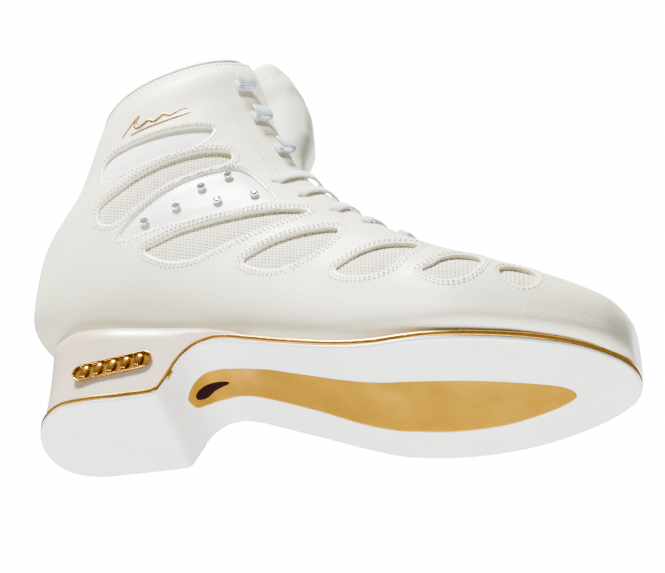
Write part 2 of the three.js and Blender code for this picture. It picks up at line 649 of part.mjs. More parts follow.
const tonguePad = (from, to, rows, reach) => solidOf(wall({
  stations: Array.from({ length: rows + 1 }, (_, i) => from + ((to - from) * i) / rows),
  angles: Array.from({ length: 15 }, (_, i) => reach * (i / 7 - 1)),
  outer: tongueFace,
  inner: tongueBack,
}));

// ---- lace -----------------------------------------------------------------------------------
// A route whose samples are exactly its listed points.
class Route extends THREE.Curve {
  constructor(points) {
    super();
    this.points = points;
  }

  getPoint(u, target = new THREE.Vector3()) {
    const place = Math.min(Math.max(u, 0), 1) * (this.points.length - 1);
    const i = Math.min(Math.floor(place), this.points.length - 2);
    return target.lerpVectors(this.points[i], this.points[i + 1], place - i);
  }

  getPointAt(u, target) {
    return this.getPoint(u, target);
  }
}

function laceTube(points) {
  const section = new THREE.Shape(Array.from({ length: 8 }, (_, k) => {
    const angle = (TAU * k) / 8;
    return new THREE.Vector2(LACE_RADIUS * Math.cos(angle), LACE_RADIUS * Math.sin(angle));
  }));
  const settings = { steps: points.length - 1, extrudePath: new Route(points), bevelEnabled: false };
  return new THREE.ExtrudeGeometry(section, settings);
}

// From inside the outer eyelet, straight over the tongue and into the inner eyelet, or back.
function barPoints(t, side) {
  const eyelet = (s, distance) => offsetPoint(t, eyeletAngle(t, s), distance);
  const points = [eyelet(side, LACE_UNDER), eyelet(side, -1.2), eyelet(side, LACE_RISE - 0.3)];
  for (const share of [0.86, 0.45, 0, -0.45, -0.86]) {
    points.push(offsetPoint(t, eyeletAngle(t, Math.sign(side * share) || 1) * Math.abs(share), LACE_RISE));
  }
  return [...points, eyelet(-side, LACE_RISE - 0.3), eyelet(-side, -1.2), eyelet(-side, LACE_UNDER)];
}

function laceRoute() {
  const points = [];
  let side = -1;
  EYELET_STATIONS.forEach((t, i) => {
    points.push(...barPoints(t, side));
    side = -side;
    const next = EYELET_STATIONS[i + 1];
    if (next) {
      for (const share of [0.25, 0.75]) {
        const between = t + (next - t) * share;
        points.push(offsetPoint(between, eyeletAngle(between, side), LACE_UNDER - 0.4));
      }
    }
  });
  return points;
}

const lace = () => solidOf(laceTube(laceRoute()));

function stopperKnot() {
  const t = EYELET_STATIONS[0];
  const centre = offsetPoint(t, eyeletAngle(t, -1), LACE_UNDER - KNOT_RADIUS - GAP);
  return new THREE.SphereGeometry(KNOT_RADIUS, 10, 6).translate(centre.x, centre.y, centre.z);
}

// The hank of spare lace on the footbed, and the stretch of lace that leads down to it.
const hankSeat = () => {
  const t = stationAtSole(HANK.centre);
  const z = lastCurve.soleZ(t) * GRADE.z - FOOTBED_TOP + FOOTBED_THICKNESS + HANK.rise;
  return new THREE.Vector3(HANK.centre * GRADE.x, 0, z + HANK.height / 2);
};

const hankTilt = THREE.MathUtils.degToRad(HANK.tilt);
const hankUp = new THREE.Vector3(Math.sin(hankTilt), 0, Math.cos(hankTilt));
const hankForward = new THREE.Vector3(Math.cos(hankTilt), 0, -Math.sin(hankTilt));

// The hard tip on the lace's free end, lying on the hank.
function laceAglet() {
  const geometry = new THREE.CylinderGeometry(AGLET_RADIUS, AGLET_RADIUS, AGLET_LENGTH, 10);
  const rise = HANK.height / 2 + AGLET_RADIUS + GAP;
  const seat = hankSeat().addScaledVector(hankUp, rise).addScaledVector(hankForward, -4);
  return geometry.rotateZ(Math.PI / 2).rotateY(hankTilt).translate(seat.x, seat.y - 7, seat.z);
}

function laceHank() {
  const points = [];
  for (const end of [1, -1]) {
    for (let i = 0; i <= 8; i += 1) {
      const angle = (end === 1 ? -Math.PI / 2 : Math.PI / 2) + (Math.PI * i) / 8;
      const x = (end * HANK.straight) / 2 + HANK.turn * Math.cos(angle);
      points.push(new THREE.Vector2(x, HANK.turn * Math.sin(angle)));
    }
  }
  const seat = hankSeat();
  return extrude(points, HANK.height).translate(0, 0, -HANK.height / 2)
    .rotateY(hankTilt).translate(seat.x, seat.y, seat.z);
}

function laceTail() {
  const t = EYELET_STATIONS[EYELET_STATIONS.length - 1];
  const angle = eyeletAngle(t, 1);
  const land = hankSeat().addScaledVector(hankForward, 22).addScaledVector(hankUp, HANK.height / 2 + GAP);
  land.y += HANK.turn / 2;
  return [
    offsetPoint(t, angle, LACE_UNDER - GAP), offsetPoint(t, angle, LACE_UNDER - 2.2),
    offsetPoint(t - 0.05, angle + 0.14, LACE_UNDER - 4), offsetPoint(t - 0.15, angle + 0.35, LACE_UNDER - 5),
    offsetPoint(t - 0.3, angle + 0.6, LACE_UNDER - 6), offsetPoint(t - 0.4, angle + 0.85, LACE_UNDER - 7.5),
    new THREE.Vector3(103 * GRADE.x, 14 * GRADE.y, 84 * GRADE.z),
    land.clone().addScaledVector(hankUp, 16), land.clone().addScaledVector(hankUp, 6), land,
  ];
}

// ---- hardware -------------------------------------------------------------------------------
function hook({ station: t, inset: back }, side) {
  const edge = throatHalfWidth(t) * GRADE.y + back;
  const angle = angleAt(t, edge, side);
  const normal = lastNormal(t, angle);
  const forward = offsetPoint(t, angle - side * 0.05, 0).sub(lastPoint(t, angle));
  forward.addScaledVector(normal, -forward.dot(normal)).normalize();
  const across = new THREE.Vector3().crossVectors(forward, normal);
  const [sheet, reach] = [HOOK_SHEET, 2.4];
  const points = [[-4, 0], [3.4, 0]];
  for (let i = 1; i < 4; i += 1) {
    const turn = -Math.PI / 2 + (Math.PI * i) / 4;
    points.push([3.4 + reach * Math.cos(turn), reach + reach * Math.sin(turn)]);
  }
  points.push([3.4, 2 * reach], [-5, 2 * reach], [-5, 2 * reach - sheet], [3.4, 2 * reach - sheet]);
  for (let i = 3; i > 0; i -= 1) {
    const turn = -Math.PI / 2 + (Math.PI * i) / 4;
    const bend = reach - sheet;
    points.push([3.4 + bend * Math.cos(turn), reach + bend * Math.sin(turn)]);
  }
  points.push([3.4, sheet], [-4, sheet]);
  const profile = points.map(([x, y]) => new THREE.Vector2(x, y));
  const geometry = extrude(profile, HOOK_WIDTH).translate(0, 0, -HOOK_WIDTH / 2);
  const place = new THREE.Matrix4().makeBasis(forward, normal, across);
  const foot = offsetPoint(t, angle, 0.6);
  return geometry.applyMatrix4(place).translate(foot.x, foot.y, foot.z);
}

// Station and angle of the surface point over a place in side view, on the outer side.
function surfaceAt(x, z) {
  let best = [10, 4.5];
  let nearest = Infinity;
  for (let t = 7; t < 13; t += 0.05) {
    for (let angle = 3.6; angle < 5.6; angle += 0.02) {
      const p = lastPoint(t, angle);
      const distance = Math.hypot(p.x - x, p.z - z);
      if (distance < nearest) {
        nearest = distance;
        best = [t, angle];
      }
    }
  }
  return best;
}

function crystal(x, z) {
  const [t, angle] = surfaceAt(x * GRADE.x, z * GRADE.z);
  const geometry = new THREE.CylinderGeometry(CRYSTAL_RADIUS * 0.55, CRYSTAL_RADIUS, CRYSTAL_HEIGHT, 8);
  const turn = new THREE.Quaternion().setFromUnitVectors(new THREE.Vector3(0, 1, 0), lastNormal(t, angle));
  const centre = offsetPoint(t, angle, -PANEL_RECESS + GAP + 0.1 + CRYSTAL_HEIGHT / 2);
  return geometry.applyQuaternion(turn).translate(centre.x, centre.y, centre.z);
}

// ---- assembly -------------------------------------------------------------------------------
const boot = new THREE.Group();

function place(name, shape, look) {
  const geometry = shape.isBufferGeometry ? shape : geometryFrom(shape);
  const mesh = new THREE.Mesh(geometry, new THREE.MeshStandardMaterial(look));
  mesh.name = name;
  boot.add(mesh);
}

const stiffener = (from, to, first, last) => solidOf(wall({ stations: stationsBetween(from, to),
  angles: columnsBetween(first, last), outer: STIFFENER_TOP, inner: STIFFENER_BASE }));

place("outsole", outsole(), SOLE);
place("heel_block", heelBlock(), CREAM);
place("welt_piping", solidOf(skin(edgeRings(PIPING_RADIUS, 6), true)).subtract(lastCutter), GOLD);
place("sole_inlay", soleInlay(), GOLD);
place("sole_window", soleWindow(), DARK);
place("heel_badge", heelBadge(), GOLD);
place("shank", shankSolid(0, 0).subtract(lastCutter), STEEL);
place("shock_absorber", absorberSolid(0, 60).subtract(lastCutter), FOAM);
place("upper_shell", upperShell(), WHITE);
place("lining", lining(), WHITE);
place("collar_roll", collarRoll(), WHITE);
place("insole_board", stiffener(1.4, 10.3, 8, 16), FOAM);
place("toe_puff", stiffener(0.35, 3.1, -7, 7), FOAM);
place("heel_counter", stiffener(10.7, 12.8, 8, 16), FOAM);
place("footbed", solidOf(wall({ stations: stationsBetween(2.2, 10.3), angles: columnsBetween(8, 16, 2),
  outer: FOOTBED_TOP, inner: FOOTBED_TOP - FOOTBED_THICKNESS })), FOAM);

for (const [label, side] of SIDES) {
  const spread = (a, b) => (side > 0 ? [a, b] : [-b, -a]);
  place(`ankle_pad_${label}`, stiffener(9.4, 11.9, ...spread(5, 7)), FOAM);
  const stay = stiffener(6, 13.9, ...spread(0, 4)).subtract(throat);
  place(`eyestay_${label}`, punchEyelets(stay), WHITE);
  const fabric = insertLayer(side, FABRIC_RECESS);
  for (const [name, points] of Object.entries(WINDOWS)) {
    place(`fabric_${name}_${label}`, fabric.intersect(windowCutter(points, GAP, side)), MESH);
  }
  const panel = insertLayer(side, PANEL_RECESS).intersect(windowCutter(CRYSTAL_PANEL, GAP, side));
  place(`side_panel_${label}`, panel, WHITE);
  HOOK_PLACES.forEach((spot, i) => place(`hook_${label}_${i + 1}`, hook(spot, side), STEEL));
}
CRYSTALS.forEach(([x, z], i) => place(`crystal_${i + 1}`, crystal(x, z), CRYSTAL));

place("tongue_lower", tonguePad(5.15, TONGUE_SPLIT - 0.05, 6, LOWER_TONGUE_REACH), WHITE);
place("tongue_upper", tonguePad(TONGUE_SPLIT + 0.05, TONGUE_TOP, 10, UPPER_TONGUE_REACH), WHITE);
place("lace", lace(), WHITE);
place("lace_knot", stopperKnot(), WHITE);
place("lace_tail", laceTube(laceTail()), WHITE);
place("lace_hank", laceHank(), WHITE);
place("lace_aglet", laceAglet(), DARK);

// The origin is the middle of the footprint box, on the surface that the boot stands on.
const box = new THREE.Box3().setFromObject(boot);
boot.position.set(-(box.min.x + box.max.x) / 2, -(box.min.y + box.max.y) / 2, -box.min.z);
boot.updateMatrixWorld(true);

export default boot;
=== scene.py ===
import functools
import math

import bmesh
import bpy
from mathutils import Matrix, Vector
from mathutils.bvhtree import BVHTree

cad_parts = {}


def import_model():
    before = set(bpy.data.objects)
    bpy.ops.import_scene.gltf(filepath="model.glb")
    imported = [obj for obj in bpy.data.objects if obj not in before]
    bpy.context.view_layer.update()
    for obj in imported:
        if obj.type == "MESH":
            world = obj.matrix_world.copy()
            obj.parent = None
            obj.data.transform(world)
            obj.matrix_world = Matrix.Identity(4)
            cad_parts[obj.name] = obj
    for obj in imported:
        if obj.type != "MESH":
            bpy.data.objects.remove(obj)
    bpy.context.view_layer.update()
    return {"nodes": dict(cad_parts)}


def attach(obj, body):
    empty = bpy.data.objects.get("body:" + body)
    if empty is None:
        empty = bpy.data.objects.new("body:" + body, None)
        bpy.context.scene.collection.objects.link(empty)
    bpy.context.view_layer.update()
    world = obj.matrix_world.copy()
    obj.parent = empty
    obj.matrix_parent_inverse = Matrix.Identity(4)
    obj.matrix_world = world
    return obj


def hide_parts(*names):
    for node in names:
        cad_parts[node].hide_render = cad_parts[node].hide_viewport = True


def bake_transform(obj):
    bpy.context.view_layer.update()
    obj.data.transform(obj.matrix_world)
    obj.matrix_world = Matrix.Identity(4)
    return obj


# A right-hand figure skating boot, in metres, +X to the toe, +Y to the inner side, +Z up.
# Shapes are drawn in millimetres on the boot's own last and moved into the frame by world().

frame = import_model()

MM = 0.001
FRAME_SHIFT = Vector((-128.92, 1.34, 0))
TAU = 2 * math.pi
HEEL_BACK, TOE_TIP = 7.2, 268
UP = Vector((0, 0, 1))


def world(point):
    return (Vector(point) + FRAME_SHIFT) * MM


# ---- camera -----------------------------------------------------------------------------------
CAMERA_AIM = Vector((130, 0, 70))
CAMERA_TURN, CAMERA_CLIMB, CAMERA_ROLL = math.radians(21.97), math.radians(40), math.radians(6.85)
CAMERA_DISTANCE = 729.73
CAMERA_LENS = 89.1
CAMERA_SHIFT = (0.0167, 0.0042)


def set_camera():
    look = Vector((
        -math.sin(CAMERA_TURN) * math.cos(CAMERA_CLIMB),
        math.cos(CAMERA_TURN) * math.cos(CAMERA_CLIMB),
        math.sin(CAMERA_CLIMB),
    ))
    level = Vector((math.cos(CAMERA_TURN), math.sin(CAMERA_TURN), 0))
    upright = level.cross(look)
    right = level * math.cos(CAMERA_ROLL) + upright * math.sin(CAMERA_ROLL)
    top = upright * math.cos(CAMERA_ROLL) - level * math.sin(CAMERA_ROLL)
    camera = bpy.data.objects.new("boot_camera", bpy.data.cameras.new("boot_camera"))
    bpy.context.scene.collection.objects.link(camera)
    camera.data.lens = CAMERA_LENS
    camera.data.shift_x, camera.data.shift_y = CAMERA_SHIFT
    camera.data.clip_start, camera.data.clip_end = 0.01, 20
    camera.rotation_mode = "QUATERNION"
    camera.rotation_quaternion = Matrix((right, top, -look)).transposed().to_quaternion()
    camera.location = world(CAMERA_AIM - look * CAMERA_DISTANCE)
    bpy.context.scene.camera = camera


set_camera()

# ---- the last ---------------------------------------------------------------------------------
# Stations from toe tip to cuff: each is a ring between the sole line and the ridge.
LAST = {
    "sole_x": [268, 267, 261, 248, 226, 198, 166, 136, 104, 64.5, 21, -8, -10.5, 0, 4, 5, 5.5],
    "sole_z": [14.5, 7, 5, 4.5, 4, 4, 7, 15, 25, 36, 41.5, 65.5, 94.5, 129.5, 160, 187.5, 202],
    "ridge_x": [268, 267, 259.5, 246, 224.5, 197, 172, 153.5, 138, 126.5, 118.5, 111, 104, 98.5,
                94.5, 91, 87],
    "ridge_z": [15.5, 28.5, 40, 46.5, 55.5, 68, 84.5, 100.5, 115, 128.5, 141.5, 155.5, 170, 186,
                200.5, 212, 223],
    "outer": [0, 12, 22, 31, 39, 44, 42, 36.5, 33.5, 32, 32.5, 33, 33.5, 33.5, 35, 30, 29.5],
    "inner": [0, 12, 22, 30, 37, 40, 34, 28.5, 28, 30, 33, 34, 34, 33, 34, 35.5, 35.5],
    "waist": [-0.3, -0.3, -0.4, -0.45, -0.5, -0.5, -0.4, -0.3, -0.2, -0.1, -0.05, 0, 0, 0, 0, 0, 0],
    "base": [2.2, 3, 4, 5, 5.5, 5.5, 5, 4.2, 3.4, 2.9, 2.5, 2.3, 2.2, 2.2, 2.2, 2.2, 2.2],
    "crown": [2, 2, 2, 2, 2, 2, 2, 2, 2.1, 2.1, 2.1, 2.2, 2.2, 2.2, 2.2, 2.3, 2.3],
    "shift": [7, 7, 5, 3, 1, 0, 0, 0, 0, 0, 0, 0, 0, 0, 0, 0, 0],
}
CUFF = 14.88
LINING_TOP, FOOTBED_TOP, FOOTBED_BASE = -3.4, -4.9, -8.1
OUTER, INNER = -1, 1
SIDES = (("outer", OUTER), ("inner", INNER))


def monotone(xs, ys):
    """A monotone cubic through the given points: it never overshoots them."""
    count = len(xs)
    slope = [(ys[i + 1] - ys[i]) / (xs[i + 1] - xs[i]) for i in range(count - 1)]
    tangent = [slope[0]]
    for before, after in zip(slope, slope[1:]):
        tangent.append(0 if before * after <= 0 else 2 * before * after / (before + after))
    tangent.append(slope[-1])

    def curve(x):
        x = min(max(x, xs[0]), xs[-1])
        i = 0
        while i < count - 2 and x > xs[i + 1]:
            i += 1
        h = xs[i + 1] - xs[i]
        u = (x - xs[i]) / h
        start = (1 + 2 * u) * (1 - u) ** 2 * ys[i] + u * (1 - u) ** 2 * h * tangent[i]
        return start + u * u * (3 - 2 * u) * ys[i + 1] + u * u * (u - 1) * h * tangent[i + 1]

    return curve


last_curves = {key: monotone(list(range(17)), values) for key, values in LAST.items()}
throat_width = monotone([4.9, 5.4, 6.2, 8, 9.5, 11, 12, 13, 14, 15, 16.5],
                        [2, 6, 11, 13, 13, 12, 12.5, 14, 17, 19, 21])


@functools.lru_cache(maxsize=None)
def ring(t):
    """The sizes of one station's ring."""
    return {key: curve(t) for key, curve in last_curves.items()}


def last_point(t, angle):
    """A point of the last: angle 0 at the ridge, pi at the sole line, rising on the inner side."""
    r = ring(t)
    c, s = math.cos(angle), math.sin(angle)
    power = 2 / r["crown" if c >= 0 else "base"]
    high, side = abs(c) ** power, abs(s) ** power
    waist = r["waist"]
    reach = waist + (1 - waist) * high if c >= 0 else waist - (1 + waist) * high
    half = r["inner"] if s >= 0 else -r["outer"]
    return Vector((
        (r["sole_x"] + r["ridge_x"]) / 2 + (r["ridge_x"] - r["sole_x"]) / 2 * reach,
        half * side + r["shift"],
        (r["sole_z"] + r["ridge_z"]) / 2 + (r["ridge_z"] - r["sole_z"]) / 2 * reach,
    ))


def last_normal(t, angle):
    if t < 0.05:
        return Vector((1, 0, 0))
    step = 0.03
    along = last_point(min(t + step, 16), angle) - last_point(t - step, angle)
    across = last_point(t, angle + step) - last_point(t, angle - step)
    return across.cross(along).normalized()


def on_last(t, angle, rise):
    return last_point(t, angle) + last_normal(t, angle) * rise


def last_true(low, high, holds):
    """The highest value for which a test still holds, by halving."""
    for _ in range(26):
        middle = (low + high) / 2
        low, high = (middle, high) if holds(middle) else (low, middle)
    return low


def angle_at(t, half_width, side):
    """The angle at which a ring reaches a distance across from the ridge."""
    limit = half_width + side * ring(t)["shift"]
    return side * last_true(0, math.pi / 2, lambda a: side * last_point(t, side * a).y < limit)


THROAT_START = 4.78


def throat_half(t):
    if t <= THROAT_START:
        return 0
    return throat_width(max(t, 4.9)) * min(1, ((t - THROAT_START) / 0.5) ** 0.5)


def smooth(x):
    u = min(max(x, 0), 1)
    return u * u * (3 - 2 * u)


def between(first, last, u):
    return first + (last - first) * u


def oval(half_width, half_height, sides):
    """The points of an ellipse round its middle."""
    turns = (TAU * k / sides for k in range(sides))
    return [(half_width * math.cos(a), half_height * math.sin(a)) for a in turns]


def linked(name, data):
    """A new object in the scene."""
    thing = bpy.data.objects.new(name, data)
    bpy.context.scene.collection.objects.link(thing)
    return thing


# ---- outlines ---------------------------------------------------------------------------------
class Outline:
    """A smooth closed line through given points in a plane."""

    def __init__(self, points, samples=6):
        self.line = []
        count = len(points)
        for i in range(count):
            a, b, c, d = (Vector(points[(i + k) % count]) for k in (-1, 0, 1, 2))
            for k in range(samples):
                u = k / samples
                self.line.append(0.5 * (
                    2 * b + (c - a) * u + (2 * a - 5 * b + 4 * c - d) * u * u
                    + (3 * b - a - 3 * c + d) * u ** 3))
        size = len(self.line)
        twice_area = sum(
            p.x * q.y - q.x * p.y for p, q in zip(self.line, self.line[1:] + self.line[:1]))
        self.turn = 1 if twice_area > 0 else -1
        self.outward = []
        for i in range(size):
            along = (self.line[(i + 1) % size] - self.line[i - 1]).normalized()
            self.outward.append(Vector((along.y, -along.x)) * self.turn)
        self.low = (min(p.x for p in self.line), min(p.y for p in self.line))
        self.high = (max(p.x for p in self.line), max(p.y for p in self.line))
        self.edges = [
            (p.x, p.y, q.x - p.x, q.y - p.y, (q - p).length_squared)
            for p, q in zip(self.line, self.line[1:] + self.line[:1])
        ]

    def distance(self, x, y, reach=8):
        """Signed distance, negative inside, and reach where the outline is further off."""
        if not (self.low[0] - reach < x < self.high[0] + reach
                and self.low[1] - reach < y < self.high[1] + reach):
            return reach
        nearest, inside = 1e9, False
        for px, py, ex, ey, square in self.edges:
            dx, dy = x - px, y - py
            u = (dx * ex + dy * ey) / square if square else 0
            u = 0 if u < 0 else 1 if u > 1 else u
            gap = (dx - u * ex) ** 2 + (dy - u * ey) ** 2
            if gap < nearest:
                nearest = gap
            if (py > y) != (py + ey > y) and dx < ex * dy / ey:
                inside = not inside
        return -nearest ** 0.5 if inside else min(nearest ** 0.5, reach)

    def offset(self, distance):
        """The line moved outwards."""
        return [p + n * distance for p, n in zip(self.line, self.outward)]


def evenly(points, pitch, closed=True):
    """Points a pitch apart along a line of points, with the direction there."""
    line = points + points[:1] if closed else points
    steps = [(q - p).length for p, q in zip(line, line[1:])]
    count = max(2, round(sum(steps) / pitch))
    spacing = sum(steps) / count
    marks, i, walked = [], 0, 0.0
    for k in range(count):
        target = spacing * (k + 0.5)
        while walked + steps[i] < target:
            walked += steps[i]
            i += 1
        u = (target - walked) / steps[i]
        marks.append((line[i].lerp(line[i + 1], u), (line[i + 1] - line[i]).normalized()))
    return marks


SOLE_PLAN = [
    (8, 0), (10.8, -8), (17, -17), (27, -23.5), (40, -25.5), (56, -25.5), (70, -25.8), (85, -27.3),
    (92, -28.2), (110, -31), (130, -34.3), (150, -37.6), (170, -40), (190, -40.5), (210, -37.6),
    (230, -31.8), (248, -22.6), (260, -12), (266, -3), (268, 7), (266, 15.5), (260, 22.3),
    (248, 29.5), (230, 36), (210, 40), (190, 41), (170, 38), (150, 32.8), (130, 29.6), (110, 28.8),
    (92, 28.2), (85, 28), (70, 27.7), (56, 28), (40, 28), (25, 27.6), (13.5, 23), (8.2, 14.5),
    (7.2, 7),
]
UNDERSIDE = monotone(
    [-20, 68.5, 70.5, 73, 76, 80, 86, 92, 100, 110, 130, 150, 162, 170, 215, 230, 248, 280],
    [0, 0, 1, 5.5, 12.5, 18, 21.8, 22.6, 21, 17.3, 9.8, 3.2, 0.7, 0, 0, 0.4, 1.4, 3.4])
CREST = monotone([-14, 0, 12, 28, 46, 62, 85, 100, 109, 112],
                 [53, 50.5, 47.5, 44.5, 42.5, 40.2, 35.3, 29.8, 24.8, 21])
BREAST_SKEW = math.tan(math.radians(5))
RIM, PIPING_RADIUS, PIPING_PROUD, PIPING_SEAT = 1.8, 1.4, 0.5, 0.2
PIPING_TOP = RIM + PIPING_SEAT + 2 * PIPING_RADIUS
WINDOWS = {
    "cuff": [(25, 144), (37, 149.5), (58, 154.5), (74, 156), (77.5, 152), (70, 141.5), (52, 136),
             (38, 130), (28, 127), (24, 134)],
    "ankle": [(28, 110), (34, 116.5), (46, 126.5), (60, 134), (76, 139), (87.5, 138), (87, 130.5),
              (73, 124.5), (58, 116.5), (45, 104), (37, 98), (29.5, 101)],
    "heel": [(56, 79), (62, 82.5), (71, 87), (84, 90.5), (99, 93.5), (114, 95), (128, 94),
             (130, 91), (120, 86), (106, 80), (91, 73.5), (81, 69.5), (70, 70), (61, 74)],
    "waist": [(105, 63), (110, 67.5), (119, 72.5), (131, 76), (142, 77.5), (147, 76), (146, 69),
              (142, 62.5), (132, 56.5), (122, 54.5), (111, 58)],
    "quarter": [(150, 46), (154, 50), (161, 54.5), (169, 58), (178, 60), (184, 59), (183, 53),
                (179, 45), (174, 38.5), (165, 37.5), (155, 41)],
    "ball": [(189, 35), (192.5, 39), (196, 44), (202, 48), (209, 48.5), (212, 43), (210.5, 34.5),
             (206, 28.5), (198, 28)],
    "vamp": [(219, 37), (221, 30.5), (225, 26), (230, 25), (233.5, 29), (233.5, 37), (229, 42),
             (222.5, 42)],
}
PANEL = [(42, 89), (50, 103), (64, 116.5), (80, 124.5), (91, 127), (98, 123.5), (106, 114),
         (113, 103), (101, 98.5), (82, 95), (62, 91.5), (46, 87.5)]
CRYSTALS = [(53.6, 95.5), (67.8, 102.3), (77.9, 113.8), (87.1, 104), (89, 121.5), (103.5, 107)]
INLAY_PLAN = [
    (78, 7), (76.4, 0.5), (77, -6), (83.5, -10.5), (97, -11), (110, -14), (120, -16),
    (146, -17.7), (168, -17), (188, -14.5), (207, -11), (223, -6.5), (238, 0), (242.5, 7),
    (238, 12), (226, 17), (208, 21.5), (189, 22),
    (172, 19), (154, 14.5), (134, 9.5), (114, 8), (100, 8.8), (86, 10.8),
]
SOLE_WINDOW_PLAN = [(78.6, 2), (78.6, -1.8), (81, -3.4), (86, -2.8), (91.5, -1.6), (93.4, 0.4),
                    (90, 1.6), (86, 2.8), (81.5, 4.6)]
EYELET_STATIONS = (5.95, 6.7, 7.55, 8.45, 9.4)
EYELET_HALF_SPAN, EYELET_RADIUS = 23.5, 2.3
HOOK_PLACES = ((10.7, 3), (12.2, 6), (13.45, 8))

windows = {name: Outline(points) for name, points in WINDOWS.items()}
panel = Outline(PANEL)
openings = {**windows, "panel": panel}
sole_plan = Outline(SOLE_PLAN)
inlay_plan = Outline(INLAY_PLAN)
window_plan = Outline(SOLE_WINDOW_PLAN, 8)


def underside(x, y):
    return UNDERSIDE(x + BREAST_SKEW * y)


# ---- places on the upper ----------------------------------------------------------------------
side_places = {}
for label, side in SIDES:
    side_places[side] = [
        (last_point(t / 4, side * a / 14), t / 4, side * a / 14)
        for t in range(8, 61) for a in range(4, 43)
    ]


def locate(x, z, side, guess=None):
    """The station and angle of the surface over a point of the side view."""
    if guess is None:
        _, t, angle = min(side_places[side], key=lambda e: (e[0].x - x) ** 2 + (e[0].z - z) ** 2)
    else:
        t, angle = guess
    for _ in range(5):
        p = last_point(t, angle)
        pt = (last_point(t + 0.01, angle) - p) / 0.01
        pa = (last_point(t, angle + 0.01) - p) / 0.01
        det = pt.x * pa.z - pa.x * pt.z
        if abs(det) < 1e-6:
            break
        ex, ez = x - p.x, z - p.z
        t = min(max(t + max(-0.5, min(0.5, (ex * pa.z - pa.x * ez) / det)), 0.1), 15.9)
        angle += max(-0.3, min(0.3, (pt.x * ez - ex * pt.z) / det))
    return t, angle


# ---- mesh makers ------------------------------------------------------------------------------
def finished(name, bm, material, body="boot", flat=False):
    """Turns a bmesh into a piece that rides on a body."""
    mesh = bpy.data.meshes.new(name)
    bm.to_mesh(mesh)
    bm.free()
    piece = linked(name, mesh)
    if not flat:
        mesh.shade_smooth()
    mesh.materials.append(material)
    if body:
        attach(piece, body)
    return piece


def grid(columns, rows, place, wrap=False, flip=False):
    """A grid laid on a surface: place(u, v) gives millimetres for u and v from 0 to 1."""
    bm = bmesh.new()
    laid = bm.loops.layers.uv.new("laid")
    bmesh.ops.create_grid(bm, x_segments=columns, y_segments=rows, size=0.5)
    spots = {v: (v.co.x + 0.5, v.co.y + 0.5) for v in bm.verts}
    for face in bm.faces:
        for loop in face.loops:
            loop[laid].uv = spots[loop.vert]
    for v, (a, b) in spots.items():
        v.co = world(place(round(a, 6), round(b, 6)))
    if wrap:
        bmesh.ops.remove_doubles(bm, verts=bm.verts[:], dist=2e-6)
    if flip:
        bmesh.ops.reverse_faces(bm, faces=bm.faces[:])
    return bm


def closed(bm):
    """Fills open ends and turns every face outwards."""
    rims = [e for e in bm.edges if e.is_boundary]
    if rims:
        bmesh.ops.holes_fill(bm, edges=rims, sides=0)
    bmesh.ops.recalc_face_normals(bm, faces=bm.faces[:])
    return bm


def face_outwards(bm, at, towards=-1):
    """Turns an open mesh so that the face nearest to a place looks towards that side."""
    bm.normal_update()
    probe = min(bm.faces, key=lambda f: (f.calc_center_median() - world(at)).length)
    if probe.normal.y * towards < 0:
        bmesh.ops.reverse_faces(bm, faces=bm.faces[:])


def laid_sheet(columns, rows, spot_at, place):
    """A grid for cut(): spot_at gives each vertex its surface coordinates, place its position."""
    bm = bmesh.new()
    bmesh.ops.create_grid(bm, x_segments=columns, y_segments=rows, size=0.5)
    spots = {v: spot_at(v.co.x + 0.5, v.co.y + 0.5) for v in bm.verts}
    for v, spot in spots.items():
        v.co = place(*spot)
    return bm, spots


def rounded(width, height, corner, steps=3):
    """A rounded rectangle as points round its middle."""
    points = []
    for cx, cy, start in ((1, 1, 0), (-1, 1, 1), (-1, -1, 2), (1, -1, 3)):
        for k in range(steps + 1):
            turn = math.pi / 2 * (start + k / steps)
            points.append((cx * (width / 2 - corner) + corner * math.cos(turn),
                           cy * (height / 2 - corner) + corner * math.sin(turn)))
    return points


def tube(path, ups, section, widths=None, looped=False):
    """Sweeps a section along a path; up gives the way its height points at each place."""
    count, sides = len(path), len(section)
    frames = []
    for i in range(count):
        ahead = path[(i + 1) % count] if looped else path[min(i + 1, count - 1)]
        behind = path[i - 1] if looped or i > 0 else path[0]
        along = (ahead - behind).normalized()
        up = (ups[i] - along * ups[i].dot(along)).normalized()
        frames.append((path[i], along.cross(up), up))

    def place(u, v):
        i = round(u * (count if looped else count - 1)) % count
        k = round(v * sides) % sides
        spot, across, up = frames[i]
        grow = widths[i] if widths else 1
        a, b = section[k]
        return spot + across * a * grow + up * b * grow

    bm = grid(count if looped else count - 1, sides, place, wrap=True)
    return closed(bm)


def blank():
    """An empty bmesh with room for laid coordinates."""
    bm = bmesh.new()
    bm.loops.layers.uv.new("laid")
    return bm


def joined(parts):
    """One bmesh of several."""
    whole = blank()
    for part in parts:
        mesh = bpy.data.meshes.new("part")
        part.to_mesh(mesh)
        part.free()
        whole.from_mesh(mesh)
        bpy.data.meshes.remove(mesh)
    return whole


